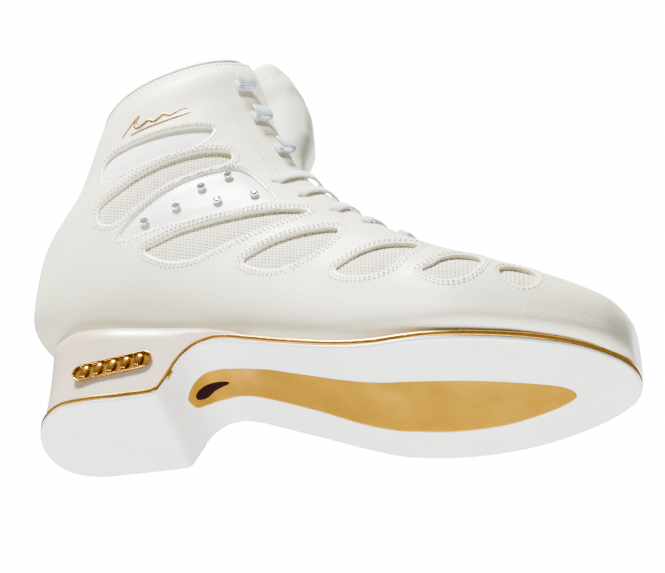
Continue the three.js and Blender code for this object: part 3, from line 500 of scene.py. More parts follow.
def cut(bm, spots, place, field):
    """Keeps the part of a laid mesh where field is above 0, with its edge on the line itself.
    spots holds each vertex's own pair of surface coordinates."""
    bm.verts.index_update()
    value = {v: field(*spots[v]) for v in bm.verts}
    mixed = [f for f in bm.faces
             if min(value[v] for v in f.verts) < 0 < max(value[v] for v in f.verts)]
    made = bmesh.ops.triangulate(bm, faces=mixed)["faces"]
    moves = {}
    for edge in {e for f in made for e in f.edges}:
        a, b = edge.verts
        if value[a] * value[b] >= 0:
            continue
        share = value[a] / (value[a] - value[b])
        mover, other = (a, b) if share < 0.5 else (b, a)
        share = min(share, 1 - share)
        if mover not in moves or share < moves[mover][0]:
            moves[mover] = (share, other)
    placed = {}
    for v, (share, other) in moves.items():
        placed[v] = tuple(p + (q - p) * share for p, q in zip(spots[v], spots[other]))
    for v, spot in placed.items():
        spots[v] = spot
        v.co = place(*spot)
        value[v] = 0
    gone = []
    for face in bm.faces:
        inside = [value[v] for v in face.verts]
        if max(inside) > 0:
            continue
        if min(inside) == 0:
            middle = [sum(spots[v][k] for v in face.verts) / len(face.verts) for k in (0, 1)]
            if field(*middle) > 0:
                continue
        gone.append(face)
    bmesh.ops.delete(bm, geom=gone, context="FACES")
    loose = [v for v in bm.verts if not v.link_faces]
    bmesh.ops.delete(bm, geom=loose, context="VERTS")


def turn_edges(bm, edges, profile, down=None):
    """Rolls open edges over: each step of the profile is (outwards, down) in millimetres."""
    bm.normal_update()
    outward, normal, start = {}, {}, {}
    for edge in edges:
        loop = edge.link_loops[0]
        way = (loop.link_loop_next.vert.co - loop.vert.co).normalized()
        for v in edge.verts:
            normal[v] = -down if down else v.normal
            outward[v] = outward.get(v, Vector()) + way.cross(v.normal)
    for v in outward:
        flat = outward[v] - normal[v] * outward[v].dot(normal[v])
        outward[v] = flat.normalized() if flat.length > 1e-9 else Vector()
        start[v] = v.co.copy()
    rim, origin = list(edges), {v: v for v in outward}
    for out, drop in profile:
        made = bmesh.ops.extrude_edge_only(bm, edges=rim)["geom"]
        rim = [g for g in made if isinstance(g, bmesh.types.BMEdge)]
        grown = {}
        for v in (g for g in made if isinstance(g, bmesh.types.BMVert)):
            source = next(
                (origin[e.other_vert(v)] for e in v.link_edges if e.other_vert(v) in origin), None)
            if source:
                grown[v] = source
                v.co = start[source] + (outward[source] * out - normal[source] * drop) * MM
        origin = grown


# ---- shader groups ----------------------------------------------------------------------------
def add(tree, kind, at=(0, 0), **settings):
    node = tree.nodes.new("ShaderNode" + kind)
    node.location = at
    for key, value in settings.items():
        setattr(node, key, value)
    return node


def new_group(name, inputs, outputs):
    """A node group with named float inputs and its outputs; gives the tree and both ends."""
    tree = bpy.data.node_groups.new(name, "ShaderNodeTree")
    for label, value in inputs:
        socket = tree.interface.new_socket(label, in_out="INPUT", socket_type="NodeSocketFloat")
        socket.default_value = value
    for label in outputs:
        tree.interface.new_socket(label, in_out="OUTPUT", socket_type="NodeSocketFloat")
    return tree, tree.nodes.new("NodeGroupInput"), tree.nodes.new("NodeGroupOutput")


def calculate(tree, operation, first, second=None, third=None):
    node = add(tree, "Math", operation=operation)
    for socket, value in zip(node.inputs, (first, second, third)):
        if value is None:
            continue
        if isinstance(value, (int, float)):
            socket.default_value = value
        else:
            tree.links.new(value, socket)
    return node.outputs[0]


def times(tree, first, second):
    return calculate(tree, "MULTIPLY", first, second)


def plus(tree, first, second):
    return calculate(tree, "ADD", first, second)


def noise(tree, vector, scale, detail=2, roughness=0.5):
    node = add(tree, "TexNoise")
    tree.links.new(vector, node.inputs["Vector"])
    if isinstance(scale, (int, float)):
        node.inputs["Scale"].default_value = scale
    else:
        tree.links.new(scale, node.inputs["Scale"])
    node.inputs["Detail"].default_value = detail
    node.inputs["Roughness"].default_value = roughness
    return node.outputs[0]


def ramp(tree, value, low, high, from_value=0.0, to_value=1.0):
    node = add(tree, "MapRange", clamp=True)
    tree.links.new(value, node.inputs["Value"])
    for label, number in (("From Min", low), ("From Max", high), ("To Min", from_value),
                          ("To Max", to_value)):
        node.inputs[label].default_value = number
    return node.outputs[0]


def grain_group():
    """Hide grain: small rounded pebbles broken up by creases. Height and a patchy tone."""
    tree, ins, outs = new_group("hide_grain", [("Scale", 900), ("Crease", 0.4)], ["Height", "Tone"])
    coords = add(tree, "TexCoord")
    stretch = add(tree, "Mapping")
    stretch.inputs["Scale"].default_value = (0.62, 0.8, 1.25)
    tree.links.new(coords.outputs["Object"], stretch.inputs["Vector"])
    cells = add(tree, "TexVoronoi", feature="SMOOTH_F1")
    cells.inputs["Smoothness"].default_value = 0.4
    tree.links.new(stretch.outputs[0], cells.inputs["Vector"])
    tree.links.new(ins.outputs["Scale"], cells.inputs["Scale"])
    pebble = calculate(tree, "SUBTRACT", 1, cells.outputs["Distance"])
    crease = noise(tree, stretch.outputs[0], 260, 4, 0.62)
    creased = times(tree, crease, ins.outputs["Crease"])
    tree.links.new(plus(tree, pebble, creased), outs.inputs["Height"])
    tree.links.new(noise(tree, coords.outputs["Object"], 28, 3, 0.55), outs.inputs["Tone"])
    return tree


def mesh_group():
    """Knobbly spacer mesh: staggered open holes between raised yarns. Height and the holes; the
    window mesh paints its holes near black as painted shade.
    """
    tree, ins, outs = new_group("spacer_mesh", [("Pitch", 480), ("Open", 0.35)], ["Height", "Hole"])
    coords = add(tree, "TexCoord")
    turned = add(tree, "Mapping")
    turned.inputs["Rotation"].default_value = (0, math.radians(-18), 0)
    tree.links.new(coords.outputs["Object"], turned.inputs["Vector"])
    split = add(tree, "SeparateXYZ")
    tree.links.new(turned.outputs[0], split.inputs[0])
    row = times(tree, split.outputs["Z"], ins.outputs["Pitch"])
    line = calculate(tree, "FLOOR", row)
    lag = times(tree, calculate(tree, "MODULO", line, 2), 0.5)
    column = plus(tree, times(tree, split.outputs["X"], ins.outputs["Pitch"]), lag)
    across, upward = (calculate(tree, "SUBTRACT", calculate(tree, "FRACT", way), 0.5)
                      for way in (column, row))
    square = plus(tree, times(tree, across, across), times(tree, upward, upward))
    wobble = times(tree, noise(tree, coords.outputs["Object"], 900, 3), 0.5)
    edge = plus(tree, calculate(tree, "SQRT", square), wobble)
    hole = ramp(tree, edge, 0.32, 0.56, 1, 0)
    opened = times(tree, hole, plus(tree, ins.outputs["Open"], 0.65))
    tree.links.new(calculate(tree, "SUBTRACT", 1, opened), outs.inputs["Height"])
    tree.links.new(calculate(tree, "MINIMUM", opened, 1), outs.inputs["Hole"])
    return tree


def weave_group():
    """Flat woven tape, on the piece's own laid coordinates. Height and yarn tone."""
    tree, ins, outs = new_group("tape_weave", [("Across", 6), ("Along", 60)], ["Height", "Yarn"])
    laid = add(tree, "UVMap", uv_map="laid")
    split = add(tree, "SeparateXYZ")
    tree.links.new(laid.outputs[0], split.inputs[0])
    rows = times(tree, split.outputs["X"], ins.outputs["Along"])
    lines = times(tree, split.outputs["Y"], ins.outputs["Across"])
    diagonal = plus(tree, rows, calculate(tree, "PINGPONG", lines, 1))
    wave, ribs = (calculate(tree, "ABSOLUTE", calculate(tree, "SINE", times(tree, way, math.pi)))
                  for way in (diagonal, lines))
    height = plus(tree, times(tree, wave, 0.6), times(tree, ribs, 0.4))
    tree.links.new(height, outs.inputs["Height"])
    tree.links.new(times(tree, wave, ribs), outs.inputs["Yarn"])
    return tree


def brush_group():
    """Brushed or drawn metal: long fine scratches along X. Height and streaks."""
    tree, ins, outs = new_group("brushed_lines", [("Length", 14), ("Fineness", 1800)],
                                ["Height", "Streak"])
    coords = add(tree, "TexCoord")
    split = add(tree, "SeparateXYZ")
    tree.links.new(coords.outputs["Object"], split.inputs[0])
    drawn = add(tree, "CombineXYZ")
    for axis, rate in (("X", "Length"), ("Y", "Fineness"), ("Z", "Length")):
        tree.links.new(times(tree, split.outputs[axis], ins.outputs[rate]), drawn.inputs[axis])
    streak = noise(tree, drawn.outputs[0], 1, 3, 0.6)
    tree.links.new(streak, outs.inputs["Height"])
    tree.links.new(noise(tree, coords.outputs["Object"], 22, 2), outs.inputs["Streak"])
    return tree


def wear_group():
    """Faint handling marks: soft blotches and a few fine scuffs."""
    tree, ins, outs = new_group("handling", [("Scale", 40), ("Scuffs", 0.3)], ["Mark"])
    coords = add(tree, "TexCoord")
    blotch = noise(tree, coords.outputs["Object"], ins.outputs["Scale"], 4, 0.6)
    fine = noise(tree, coords.outputs["Object"], 420, 3, 0.7)
    scuff = times(tree, ramp(tree, fine, 0.56, 0.7), ins.outputs["Scuffs"])
    tree.links.new(plus(tree, ramp(tree, blotch, 0.35, 0.7), scuff), outs.inputs["Mark"])
    return tree


GROUPS = {"grain": grain_group(), "mesh": mesh_group(), "weave": weave_group(),
          "brush": brush_group(), "wear": wear_group()}


def finish(name, dark, light, rough, bump=0.3, depth=0.0002, group="grain", values={},
           **sockets):
    """A material whose colour runs between two tones and whose roughness runs between two values,
    with a group's relief in its surface."""
    material = bpy.data.materials.new(name)
    material.use_nodes = True
    tree = material.node_tree
    shader = tree.nodes["Principled BSDF"]
    relief = add(tree, "Group", (-700, 0))
    relief.node_tree = GROUPS[group]
    for label, value in values.items():
        relief.inputs[label].default_value = value
    wear = add(tree, "Group", (-700, -250))
    wear.node_tree = GROUPS["wear"]
    mask = wear.outputs["Mark"] if group == "wear" else relief.outputs[1]
    mix = add(tree, "Mix", (-350, 150), data_type="RGBA")
    mix.inputs["A"].default_value = (*dark, 1)
    mix.inputs["B"].default_value = (*light, 1)
    tree.links.new(mask, mix.inputs[0])
    tree.links.new(mix.outputs["Result"], shader.inputs["Base Color"])
    tree.links.new(ramp(tree, wear.outputs["Mark"], 0, 1, rough[0], rough[1]),
                   shader.inputs["Roughness"])
    bumped = add(tree, "Bump", (-350, -350))
    bumped.inputs["Strength"].default_value = bump
    bumped.inputs["Distance"].default_value = depth
    tree.links.new(relief.outputs[0], bumped.inputs["Height"])
    tree.links.new(bumped.outputs[0], shader.inputs["Normal"])
    for label, value in sockets.items():
        shader.inputs[label.replace("_", " ")].default_value = value
    return material


LOOKS = {
    "leather": finish("upper_leather_white", (0.73, 0.70, 0.50), (0.82, 0.795, 0.59), (0.42, 0.56),
                      bump=0.35, depth=0.00022, Sheen_Weight=0.05),
    "tongue": finish("tongue_leather_white", (0.80, 0.77, 0.57), (0.87, 0.845, 0.65), (0.46, 0.58),
                     bump=0.3, depth=0.0002),
    "panel": finish("panel_smooth_white", (0.78, 0.775, 0.66), (0.84, 0.835, 0.72), (0.3, 0.42),
                    bump=0.12, depth=0.00012, values={"Scale": 1400}),
    # The window mesh's holes are painted near black: painted shade inside the openings, laid on the
    # real hole pattern.
    "mesh": finish("window_mesh", (0.74, 0.69, 0.50), (0.20, 0.16, 0.10), (0.75, 0.9), bump=0.9,
                   depth=0.0006, group="mesh", values={"Pitch": 560}, Sheen_Weight=0.25),
    "cuff_cloth": finish("cuff_cloth", (0.82, 0.805, 0.755), (0.70, 0.685, 0.63), (0.7, 0.85),
                         bump=0.35, depth=0.0002, group="mesh",
                         values={"Pitch": 1100, "Open": 0.0}, Sheen_Weight=0.25),
    "lining": finish("lining_textile", (0.70, 0.69, 0.66), (0.58, 0.57, 0.545), (0.8, 0.95),
                     bump=0.5, depth=0.0003, group="mesh", values={"Pitch": 800, "Open": 0.0},
                     Sheen_Weight=0.3),
    "footbed": finish("footbed_cover", (0.52, 0.515, 0.50), (0.42, 0.415, 0.40), (0.85, 0.95),
                      bump=0.5, depth=0.0003, group="mesh",
                      values={"Pitch": 620, "Open": 0.1}, Sheen_Weight=0.2),
    "heel": finish("heel_plastic_cream", (0.60, 0.48, 0.35), (0.66, 0.54, 0.40), (0.26, 0.36),
                   bump=0.06, depth=0.0001, group="wear", Coat_Weight=0.25,
                   Coat_Roughness=0.12),
    "sole": finish("sole_plastic_white", (0.83, 0.83, 0.80), (0.88, 0.88, 0.85), (0.16, 0.28),
                   bump=0.04, depth=0.0001, group="wear", Coat_Weight=0.5, Coat_Roughness=0.06),
    "piping": finish("piping_gold", (0.36, 0.16, 0.012), (0.62, 0.33, 0.05), (0.2, 0.32), bump=0.1,
                     depth=0.0001, group="brush", Metallic=0.9),
    "inlay": finish("inlay_brushed_gold", (0.80, 0.38, 0.0), (0.92, 0.47, 0.004), (0.30, 0.42),
                    bump=0.2, depth=0.00006, group="brush", Metallic=0.85),
    "dark": finish("window_dark", (0.006, 0.001, 0.0015), (0.014, 0.003, 0.004), (0.12, 0.2),
                   bump=0.05, depth=0.0001, group="wear", Specular_IOR_Level=0.12),
    "badge": finish("badge_gold", (0.40, 0.18, 0.015), (0.66, 0.36, 0.05), (0.14, 0.24), bump=0.08,
                    depth=0.00005, group="brush", Metallic=1.0),
    # Dark steel for the strip under each hook's top plate: painted shade standing for the shadow in
    # the gap.
    "shade": finish("hook_painted_shade", (0.035, 0.035, 0.038), (0.07, 0.07, 0.075), (0.45, 0.6),
                    bump=0.1, depth=0.00005, group="brush", Metallic=0.5),
    # Pale blue-white on the hook plates is a painted reflection: the steel's bright reflection of
    # the white surroundings, painted as a plain colour.
    "painted_reflection": finish("hook_painted_reflection", (0.62, 0.69, 0.76), (0.70, 0.765, 0.83), (0.2, 0.3), bump=0.05,
                     depth=0.00005, group="wear"),
    "steel": finish("hook_steel", (0.60, 0.64, 0.70), (0.78, 0.81, 0.86), (0.22, 0.36), bump=0.1,
                    depth=0.00005, group="brush", Metallic=0.75),
    "lace": finish("lace_cotton_white", (0.74, 0.735, 0.71), (0.88, 0.875, 0.85), (0.8, 0.92),
                   bump=0.8, depth=0.0003, group="weave", Sheen_Weight=0.3),
    "thread": finish("stitch_thread", (0.78, 0.77, 0.72), (0.87, 0.86, 0.82), (0.5, 0.62), bump=0.3,
                     depth=0.0001, group="wear", Sheen_Weight=0.2),
    "flourish": finish("flourish_gold", (0.13, 0.055, 0.008), (0.36, 0.17, 0.025), (0.25, 0.4),
                       bump=0.2, depth=0.0001, group="brush", Metallic=0.7),
    "foam": finish("foam_sheet", (0.62, 0.58, 0.50), (0.74, 0.70, 0.62), (0.85, 0.95), bump=0.6,
                   depth=0.0004, group="wear"),
    "aglet": finish("aglet_plastic", (0.03, 0.02, 0.02), (0.08, 0.05, 0.05), (0.2, 0.3), bump=0.05,
                    depth=0.0001, group="wear"),
    "crystal": finish("crystal_clear", (0.50, 0.53, 0.58), (0.92, 0.94, 0.97), (0.02, 0.06), bump=0,
                      group="wear", Metallic=0.85, Coat_Weight=1),
}
CAD_LOOKS = {
    "insole_board": "foam", "toe_puff": "foam", "heel_counter": "foam", "ankle_pad": "foam",
    "eyestay": "foam", "shank": "steel", "shock_absorber": "foam", "footbed": "footbed",
}
for node_name, node in frame["nodes"].items():
    look = next((l for start, l in CAD_LOOKS.items() if node_name.startswith(start)), "leather")
    node.data.materials.clear()
    node.data.materials.append(LOOKS[look])

# ---- the spare lace: one cord from the top inner eyelet to the hank on the footbed ---------------
LACE_THICK = 3.8
LACE_UNDER = -7.7
HANK_TILT = math.radians(12)
HANK_UP = Vector((math.sin(HANK_TILT), 0, math.cos(HANK_TILT)))
HANK_FORWARD = Vector((math.cos(HANK_TILT), 0, -math.sin(HANK_TILT)))
HANK_HALF, HANK_TURNS, TURN_STEPS = 30, 3.5, 12
HANK_OUTER, HANK_INNER = 12.1, 8.3


def eyelet_angle(t, side):
    return angle_at(t, EYELET_HALF_SPAN, side)


def sole_station(x):
    return last_true(4, 10, lambda t: ring(t)["sole_x"] > x)


def hank_point(level, along, across):
    """A place in the hank: level up from its middle, along and across its length."""
    seat = Vector((66, 0, ring(sole_station(66))["sole_z"] + 4.9 + 3.2 + 5.2 + 8))
    return seat + HANK_UP * level + HANK_FORWARD * along + Vector((0, across, 0))


def racetrack(turns, radius_at, level_at):
    """Turns round two ends a straight run apart, from the middle of the far side."""
    points = []
    total = turns * (2 * TURN_STEPS)
    for k in range(int(total) + 1):
        share = k / total
        place = (k / (2 * TURN_STEPS)) % 1
        radius, level = radius_at(share), level_at(share)
        if place < 0.5:
            angle = -math.pi / 2 + math.pi * (place / 0.5)
            end = HANK_HALF
        else:
            angle = math.pi / 2 + math.pi * ((place - 0.5) / 0.5)
            end = -HANK_HALF
        points.append(hank_point(level, end + radius * math.cos(angle), radius * math.sin(angle)))
    return points


def spare_lace():
    t = EYELET_STATIONS[-1]
    angle = eyelet_angle(t, INNER)
    points = [
        on_last(t, angle, LACE_UNDER - 0.3), on_last(t, angle, LACE_UNDER - 2.2),
        *[on_last(t - back, angle + turn, LACE_UNDER - deep) for back, turn, deep in (
            (0.05, 0.14, 4), (0.15, 0.35, 5), (0.3, 0.6, 6), (0.4, 0.85, 7.5))],
        Vector((103, 14, 84)), hank_point(20, 22, 5), hank_point(12, 8, 1), hank_point(8, -6, -5),
        hank_point(7, -18, -8.3),
    ]
    points += racetrack(HANK_TURNS, lambda s: HANK_INNER, lambda s: 6.1 - 12.2 * s)
    widening = HANK_OUTER - HANK_INNER
    points += racetrack(
        4, lambda s: HANK_INNER + widening * smooth(s * 8), lambda s: -6.1 + 12.6 * s)[1:]
    points += [hank_point(7.4, -12, -11.2), hank_point(8.8, -6, -9.4), hank_point(9.7, 0, -7.6)]
    return points


def centred_curve(name, points, radius):
    curve = bpy.data.curves.new(name, "CURVE")
    curve.dimensions = "3D"
    spline = curve.splines.new("POLY")
    spline.points.add(len(points) - 1)
    for spot, p in zip(spline.points, points):
        spot.co = (*world(p), 1)
    curve.bevel_depth = radius * MM
    curve.bevel_resolution = 3
    curve.use_fill_caps = True
    return linked(name, curve)


def eased(points, rounds):
    """The route with its corners cut, so that its bends are wide."""
    for _ in range(rounds):
        line = [points[0]]
        for a, b in zip(points, points[1:]):
            line += [a.lerp(b, 0.25), a.lerp(b, 0.75)]
        points = line + [points[-1]]
    return points


spare_route = eased(spare_lace(), 1)
spare_length = sum((b - a).length for a, b in zip(spare_route, spare_route[1:])) * MM
spare = centred_curve("spare_lace", spare_route, LACE_THICK / 2)
spare.data.materials.append(LOOKS["thread"])
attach(spare, "boot")
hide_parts("lace_tail", "lace_hank")

aglet_middle = hank_point(9.7, 10, -7)
aglet_path = [aglet_middle + HANK_FORWARD * (k - 5) * 2 for k in range(11)]
aglet = finished(
    "lace_tip", tube(aglet_path, [HANK_UP] * 11, rounded(2.8, 2.8, 1.3, 3),
                     [0.86, 1, 1, 0.97, 0.97, 0.97, 0.97, 0.97, 0.97, 0.96, 0.8]),
    LOOKS["aglet"])
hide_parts("lace_aglet")
tuple(world(spare_route[0]))

# ---- the leather upper ------------------------------------------------------------------------
UPPER_ROWS, UPPER_COLUMNS = 210, 190


def opening_distance(t, angle):
    """Distance outside the nearest cut-out, in side view."""
    p = last_point(t, angle)
    if p.z > 160 or p.x > 240:
        return 8
    return min(shape.distance(p.x, p.z) for shape in openings.values())


eyelet_places = {
    (t, side): last_point(t, eyelet_angle(t, side)) for t in EYELET_STATIONS for _, side in SIDES}


def eyelet_distance(t, angle):
    if not 5.3 < t < 10:
        return 8
    p = last_point(t, angle)
    return min((p - q).length for q in eyelet_places.values()) - EYELET_RADIUS


def leather_field(t, angle):
    return min(opening_distance(t, angle), eyelet_distance(t, angle))


def leather_rise(t, angle):
    """The leather stands a little proud beside each cut-out and rolls down at its edge."""
    d = opening_distance(t, angle)
    swell = 0.2 * math.sin(math.pi * min(max(d, 0) / 4, 1))
    roll = -0.16 * (1 - min(max(d, 0) / 0.8, 1)) ** 2
    return swell + roll


def leather_place(t, angle):
    return world(on_last(t, angle, leather_rise(t, angle)))


def station_at(v):
    return between(0, 1.6, v / 0.16) if v < 0.16 else between(1.6, CUFF, (v - 0.16) / 0.84)


@functools.lru_cache(maxsize=None)
def open_span(t):
    """The angles of a ring from one edge of the throat round the back to the other."""
    half = throat_half(t)
    return (angle_at(t, half, INNER), TAU + angle_at(t, half, OUTER)) if half else (0, TAU)


def upper_leather():
    def spot_at(u, v):
        t = round(station_at(v), 6)
        first, last = open_span(t)
        return t, between(first, last, u)

    bm, spots = laid_sheet(UPPER_COLUMNS, UPPER_ROWS, spot_at, leather_place)
    face_outwards(bm, (60, -32, 110))
    cut(bm, spots, leather_place, leather_field)
    bmesh.ops.remove_doubles(bm, verts=bm.verts[:], dist=4e-6)
    edges = [e for e in bm.edges if e.is_boundary]
    turn_edges(bm, edges, [(0.28, 0.1), (0.48, 0.4), (0.5, 0.9), (0.42, 2.2)])
    return bm


upper = finished("upper_leather", upper_leather(), LOOKS["leather"])
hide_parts("upper_shell")

last_shape = grid(72, 72, lambda u, v: last_point(station_at(v), TAU * u), wrap=True)
last_tree = BVHTree.FromBMesh(last_shape)
last_shape.free()


# ---- cloth in the cut-outs --------------------------------------------------------------------
def insert(shape, side, depth, lean, puff, overlap=2.0, pitch=1.3):
    """A cloth or leather insert under a cut-out, deeper along its upper edge."""
    places = [locate(p.x, p.y, side) for p in shape.offset(overlap + 0.6)[::3]]
    t0, t1 = min(t for t, _ in places), max(t for t, _ in places)
    a0, a1 = min(a for _, a in places), max(a for _, a in places)
    middle = (shape.low[1] + shape.high[1]) / 2
    half = (shape.high[1] - shape.low[1]) / 2
    size = last_point(t0, a0) - last_point(t1, a0), last_point(t0, a0) - last_point(t0, a1)
    rows, columns = (max(12, int(s.length / pitch)) for s in size)

    def place(t, angle):
        p = last_point(t, angle)
        d = shape.distance(p.x, p.z)
        slope = max(-1, min(1, (p.z - middle) / half))
        rise = -depth - lean * slope + puff * smooth(-d / 7)
        return world(p + last_normal(t, angle) * min(rise, -0.25 if d > -1.5 else 0.6))

    def field(t, angle):
        p = last_point(t, angle)
        return overlap - shape.distance(p.x, p.z)

    bm, spots = laid_sheet(
        columns, rows, lambda u, v: (between(t0, t1, v), between(a0, a1, u)), place)
    bm.normal_update()
    if sum(f.normal.y for f in bm.faces) * side < 0:
        bmesh.ops.reverse_faces(bm, faces=bm.faces[:])
    cut(bm, spots, place, field)
    turn_edges(bm, [e for e in bm.edges if e.is_boundary], [(0.1, 0.3), (0, 0.8)])
    return bm


for label, side in SIDES:
    for window, shape in windows.items():
        look = "cuff_cloth" if window == "cuff" else "mesh"
        cloth = finished(
            f"{window}_cloth_{label}", insert(shape, side, 1.3, 0.95, 0.5), LOOKS[look])
        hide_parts(f"fabric_{window}_{label}")
    smooth_panel = finished(
        f"ankle_panel_{label}", insert(panel, side, 0.7, 0.35, 0.3), LOOKS["panel"])
    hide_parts(f"side_panel_{label}")

# ---- stitching --------------------------------------------------------------------------------
STITCH_LENGTH, STITCH_RADIUS, STITCH_PITCH, STITCH_RISE = 1.5, 0.25, 2.1, 0.18
COLLAR_SEAM, COLLAR_STITCHES = 14.7, 96
FACING_SEAM = [Vector(p) for p in ((76.5, 190), (82.4, 176.9), (89.4, 161.3), (99.4, 144.4),
                                   (104.6, 135.9), (110.9, 124.7))]
FACING_GAP = Vector((-1.9, -0.9))


def stitch_mesh(rows):
    """Stitches along rows of (place, direction, normal)."""
    whole = bmesh.new()
    for at, along, normal in rows:
        made = bmesh.ops.create_icosphere(whole, subdivisions=1, radius=1)["verts"]
        across = along.cross(normal)
        for v in made:
            x, y, z = v.co
            v.co = world(at + along * x * STITCH_LENGTH / 2 + across * y * STITCH_RADIUS
                         + normal * z * STITCH_RADIUS)
    bmesh.ops.recalc_face_normals(whole, faces=whole.faces[:])
    return whole


def seam_places(line, side, closed_line=True):
    """Where the stitches of a seam drawn in side view lie on the leather."""
    rows, guess = [], None
    for spot, way in evenly(line, STITCH_PITCH, closed_line):
        guess = locate(spot.x, spot.y, side, guess)
        t, angle = guess
        ahead = locate(spot.x + way.x * 0.6, spot.y + way.y * 0.6, side, guess)
        p = last_point(t, angle)
        along = last_point(*ahead) - p
        if along.length < 1e-6 or (p.xz - spot).length > 1.0:
            guess = None
            continue
        normal = last_normal(t, angle)
        lift = leather_rise(t, angle) + STITCH_RISE
        rows.append((p + normal * lift, along.normalized(), normal))
    return rows


def edge_places(t0, t1, inset, side, count):
    """Stitches beside the throat, a distance in from its edge."""
    rows = []
    for k in range(count):
        t = between(t0, t1, (k + 0.5) / count)
        angle = angle_at(t, throat_half(t) + inset, side)
        ahead = angle_at(t + 0.02, throat_half(t + 0.02) + inset, side)
        p = last_point(t, angle)
        along = (last_point(t + 0.02, ahead) - p).normalized()
        normal = last_normal(t, angle)
        rows.append((p + normal * (leather_rise(t, angle) + STITCH_RISE), along, normal))
    return rows


for label, side in SIDES:
    rows = []
    for name, shape in windows.items():
        rows += seam_places(shape.offset(1.5), side)
        if name not in ("cuff", "vamp"):
            rows += seam_places(shape.offset(3.0), side)
    rows += seam_places(panel.offset(1.4), side)
    for line in (FACING_SEAM, [p + FACING_GAP for p in FACING_SEAM]):
        rows += seam_places(eased(line, 2), side, closed_line=False)
    rows += edge_places(5.2, 9.3, 2.6, side, 42)
    finished(f"seams_{label}", stitch_mesh(rows), LOOKS["thread"])

collar_rows = []
throat_top = open_span(CUFF)
for k in range(COLLAR_STITCHES):
    angle = between(throat_top[0] + 0.05, throat_top[1] - 0.05, (k + 0.5) / COLLAR_STITCHES)
    p, ahead = last_point(COLLAR_SEAM, angle), last_point(COLLAR_SEAM, angle + 0.02)
    normal = last_normal(COLLAR_SEAM, angle)
    collar_rows.append((p + normal * 0.2, (ahead - p).normalized(), normal))
finished("collar_seam", stitch_mesh(collar_rows), LOOKS["thread"])


# ---- lining, footbed and collar ---------------------------------------------------------------
def lining_mesh():
    def place(u, v):
        t = station_at(v)
        first, last = open_span(t)
        return on_last(t, between(first, last, u), LINING_TOP if t > 0.3 else -4)

    bm = grid(96, 110, place, wrap=True)
    face_outwards(bm, (60, -28, 110), towards=1)
    return bm


lining = finished("lining_cloth", lining_mesh(), LOOKS["lining"])
walls = lining.modifiers.new("wall", "SOLIDIFY")
walls.thickness, walls.offset = 1.2 * MM, 1.0
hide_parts("lining")


def pad_mesh(columns, rows, station, across, face, back, edge=0.45):
    """A closed pad on the last: across(t) is its half angle or its two end angles."""
    def place(u, v):
        t = station(u)
        turn = TAU * v
        a, b = across(t)
        side = -math.copysign(abs(math.cos(turn)) ** 0.75, math.cos(turn))
        angle = (a + b) / 2 + (b - a) / 2 * side
        top, low = face(t, angle), back(t, angle)
        tips = 1 - abs(2 * u - 1) ** 26
        swell = math.copysign(abs(math.sin(turn)) ** edge, math.sin(turn)) * max(tips, 0) ** 0.5
        return on_last(t, angle, (top + low) / 2 + (top - low) / 2 * swell)

    return closed(grid(columns, rows, place, wrap=True))


footbed = finished(
    "footbed_pad", pad_mesh(90, 48, lambda u: 2.2 + 8.1 * u, lambda t: (TAU / 3, TAU * 2 / 3),
                            lambda t, a: FOOTBED_TOP, lambda t, a: FOOTBED_BASE + 0.2, 0.5),
    LOOKS["footbed"])
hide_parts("footbed")


def collar_mesh():
    first, last = throat_top[0] + 0.02, throat_top[1] - 0.02
    path, ups, sizes = [], [], []
    for k in range(121):
        angle = between(first, last, k / 120)
        rise = (last_point(16, angle) - last_point(CUFF, angle)).normalized()
        middle = on_last(CUFF, angle, -2.1) + rise * 1.2
        path.append(middle)
        ups.append(last_normal(CUFF, angle))
        end = min(k, 120 - k) / 5
        sizes.append(min(1, 0.45 + 0.55 * smooth(end)))
    return tube(path, ups, oval(1.8, 2.7, 20), sizes)


collar = finished("collar_roll_padded", collar_mesh(), LOOKS["leather"])
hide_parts("collar_roll")

# ---- tongue -----------------------------------------------------------------------------------
TONGUE_TOP, TONGUE_DEPTH, TONGUE_DOME = 15, 9, 0.3
tongue_crown = monotone([4.7, 5.9, 6.5, 9.7, 10.4, 11.5, 12.6, 13.5, 14.4, 15],
                        [-5.4, -5.3, -3.6, -3.4, -0.5, 10.5, 14, 13, 10, 7.5])
tongue_wing = monotone([5, 6.3, 7.1, 9.6, 10.4, 16], [-13.8, -13.8, -10, -10, -6.8, -6.8])


def tongue_face(t, angle):
    across = abs(last_point(t, angle).y - ring(t)["shift"])
    slot = max(throat_width(t), 9.5)
    blend = smooth((across - (slot - 5.5)) / 5)
    crown = tongue_crown(t) - max(tongue_crown(t), 0) * TONGUE_DOME * min(across / slot, 1) ** 2
    return between(crown, tongue_wing(t), blend)


def tongue_back(t, angle):
    return max(tongue_wing(t) - 5, -16.5, tongue_face(t, angle) - TONGUE_DEPTH) + 0.2


def tongue_span(t):
    reach = 0.68 + 0.17 * smooth((t - 8.8) / 1.8)
    reach *= 1 - 0.5 * max(0, (t - 13.6) / 1.4) ** 2.6
    return -reach, reach


tongue = finished(
    "tongue_padded", pad_mesh(110, 56, lambda u: between(4.72, TONGUE_TOP, u),
                              tongue_span, tongue_face, tongue_back, 0.5),
    LOOKS["tongue"], body=None)
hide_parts("tongue_lower", "tongue_upper")
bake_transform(tongue)


# ---- laces ------------------------------------------------------------------------------------
LACE_RISE = 1.15
LACE_WIDTH, LACE_DEEP = 5.6, 1.25


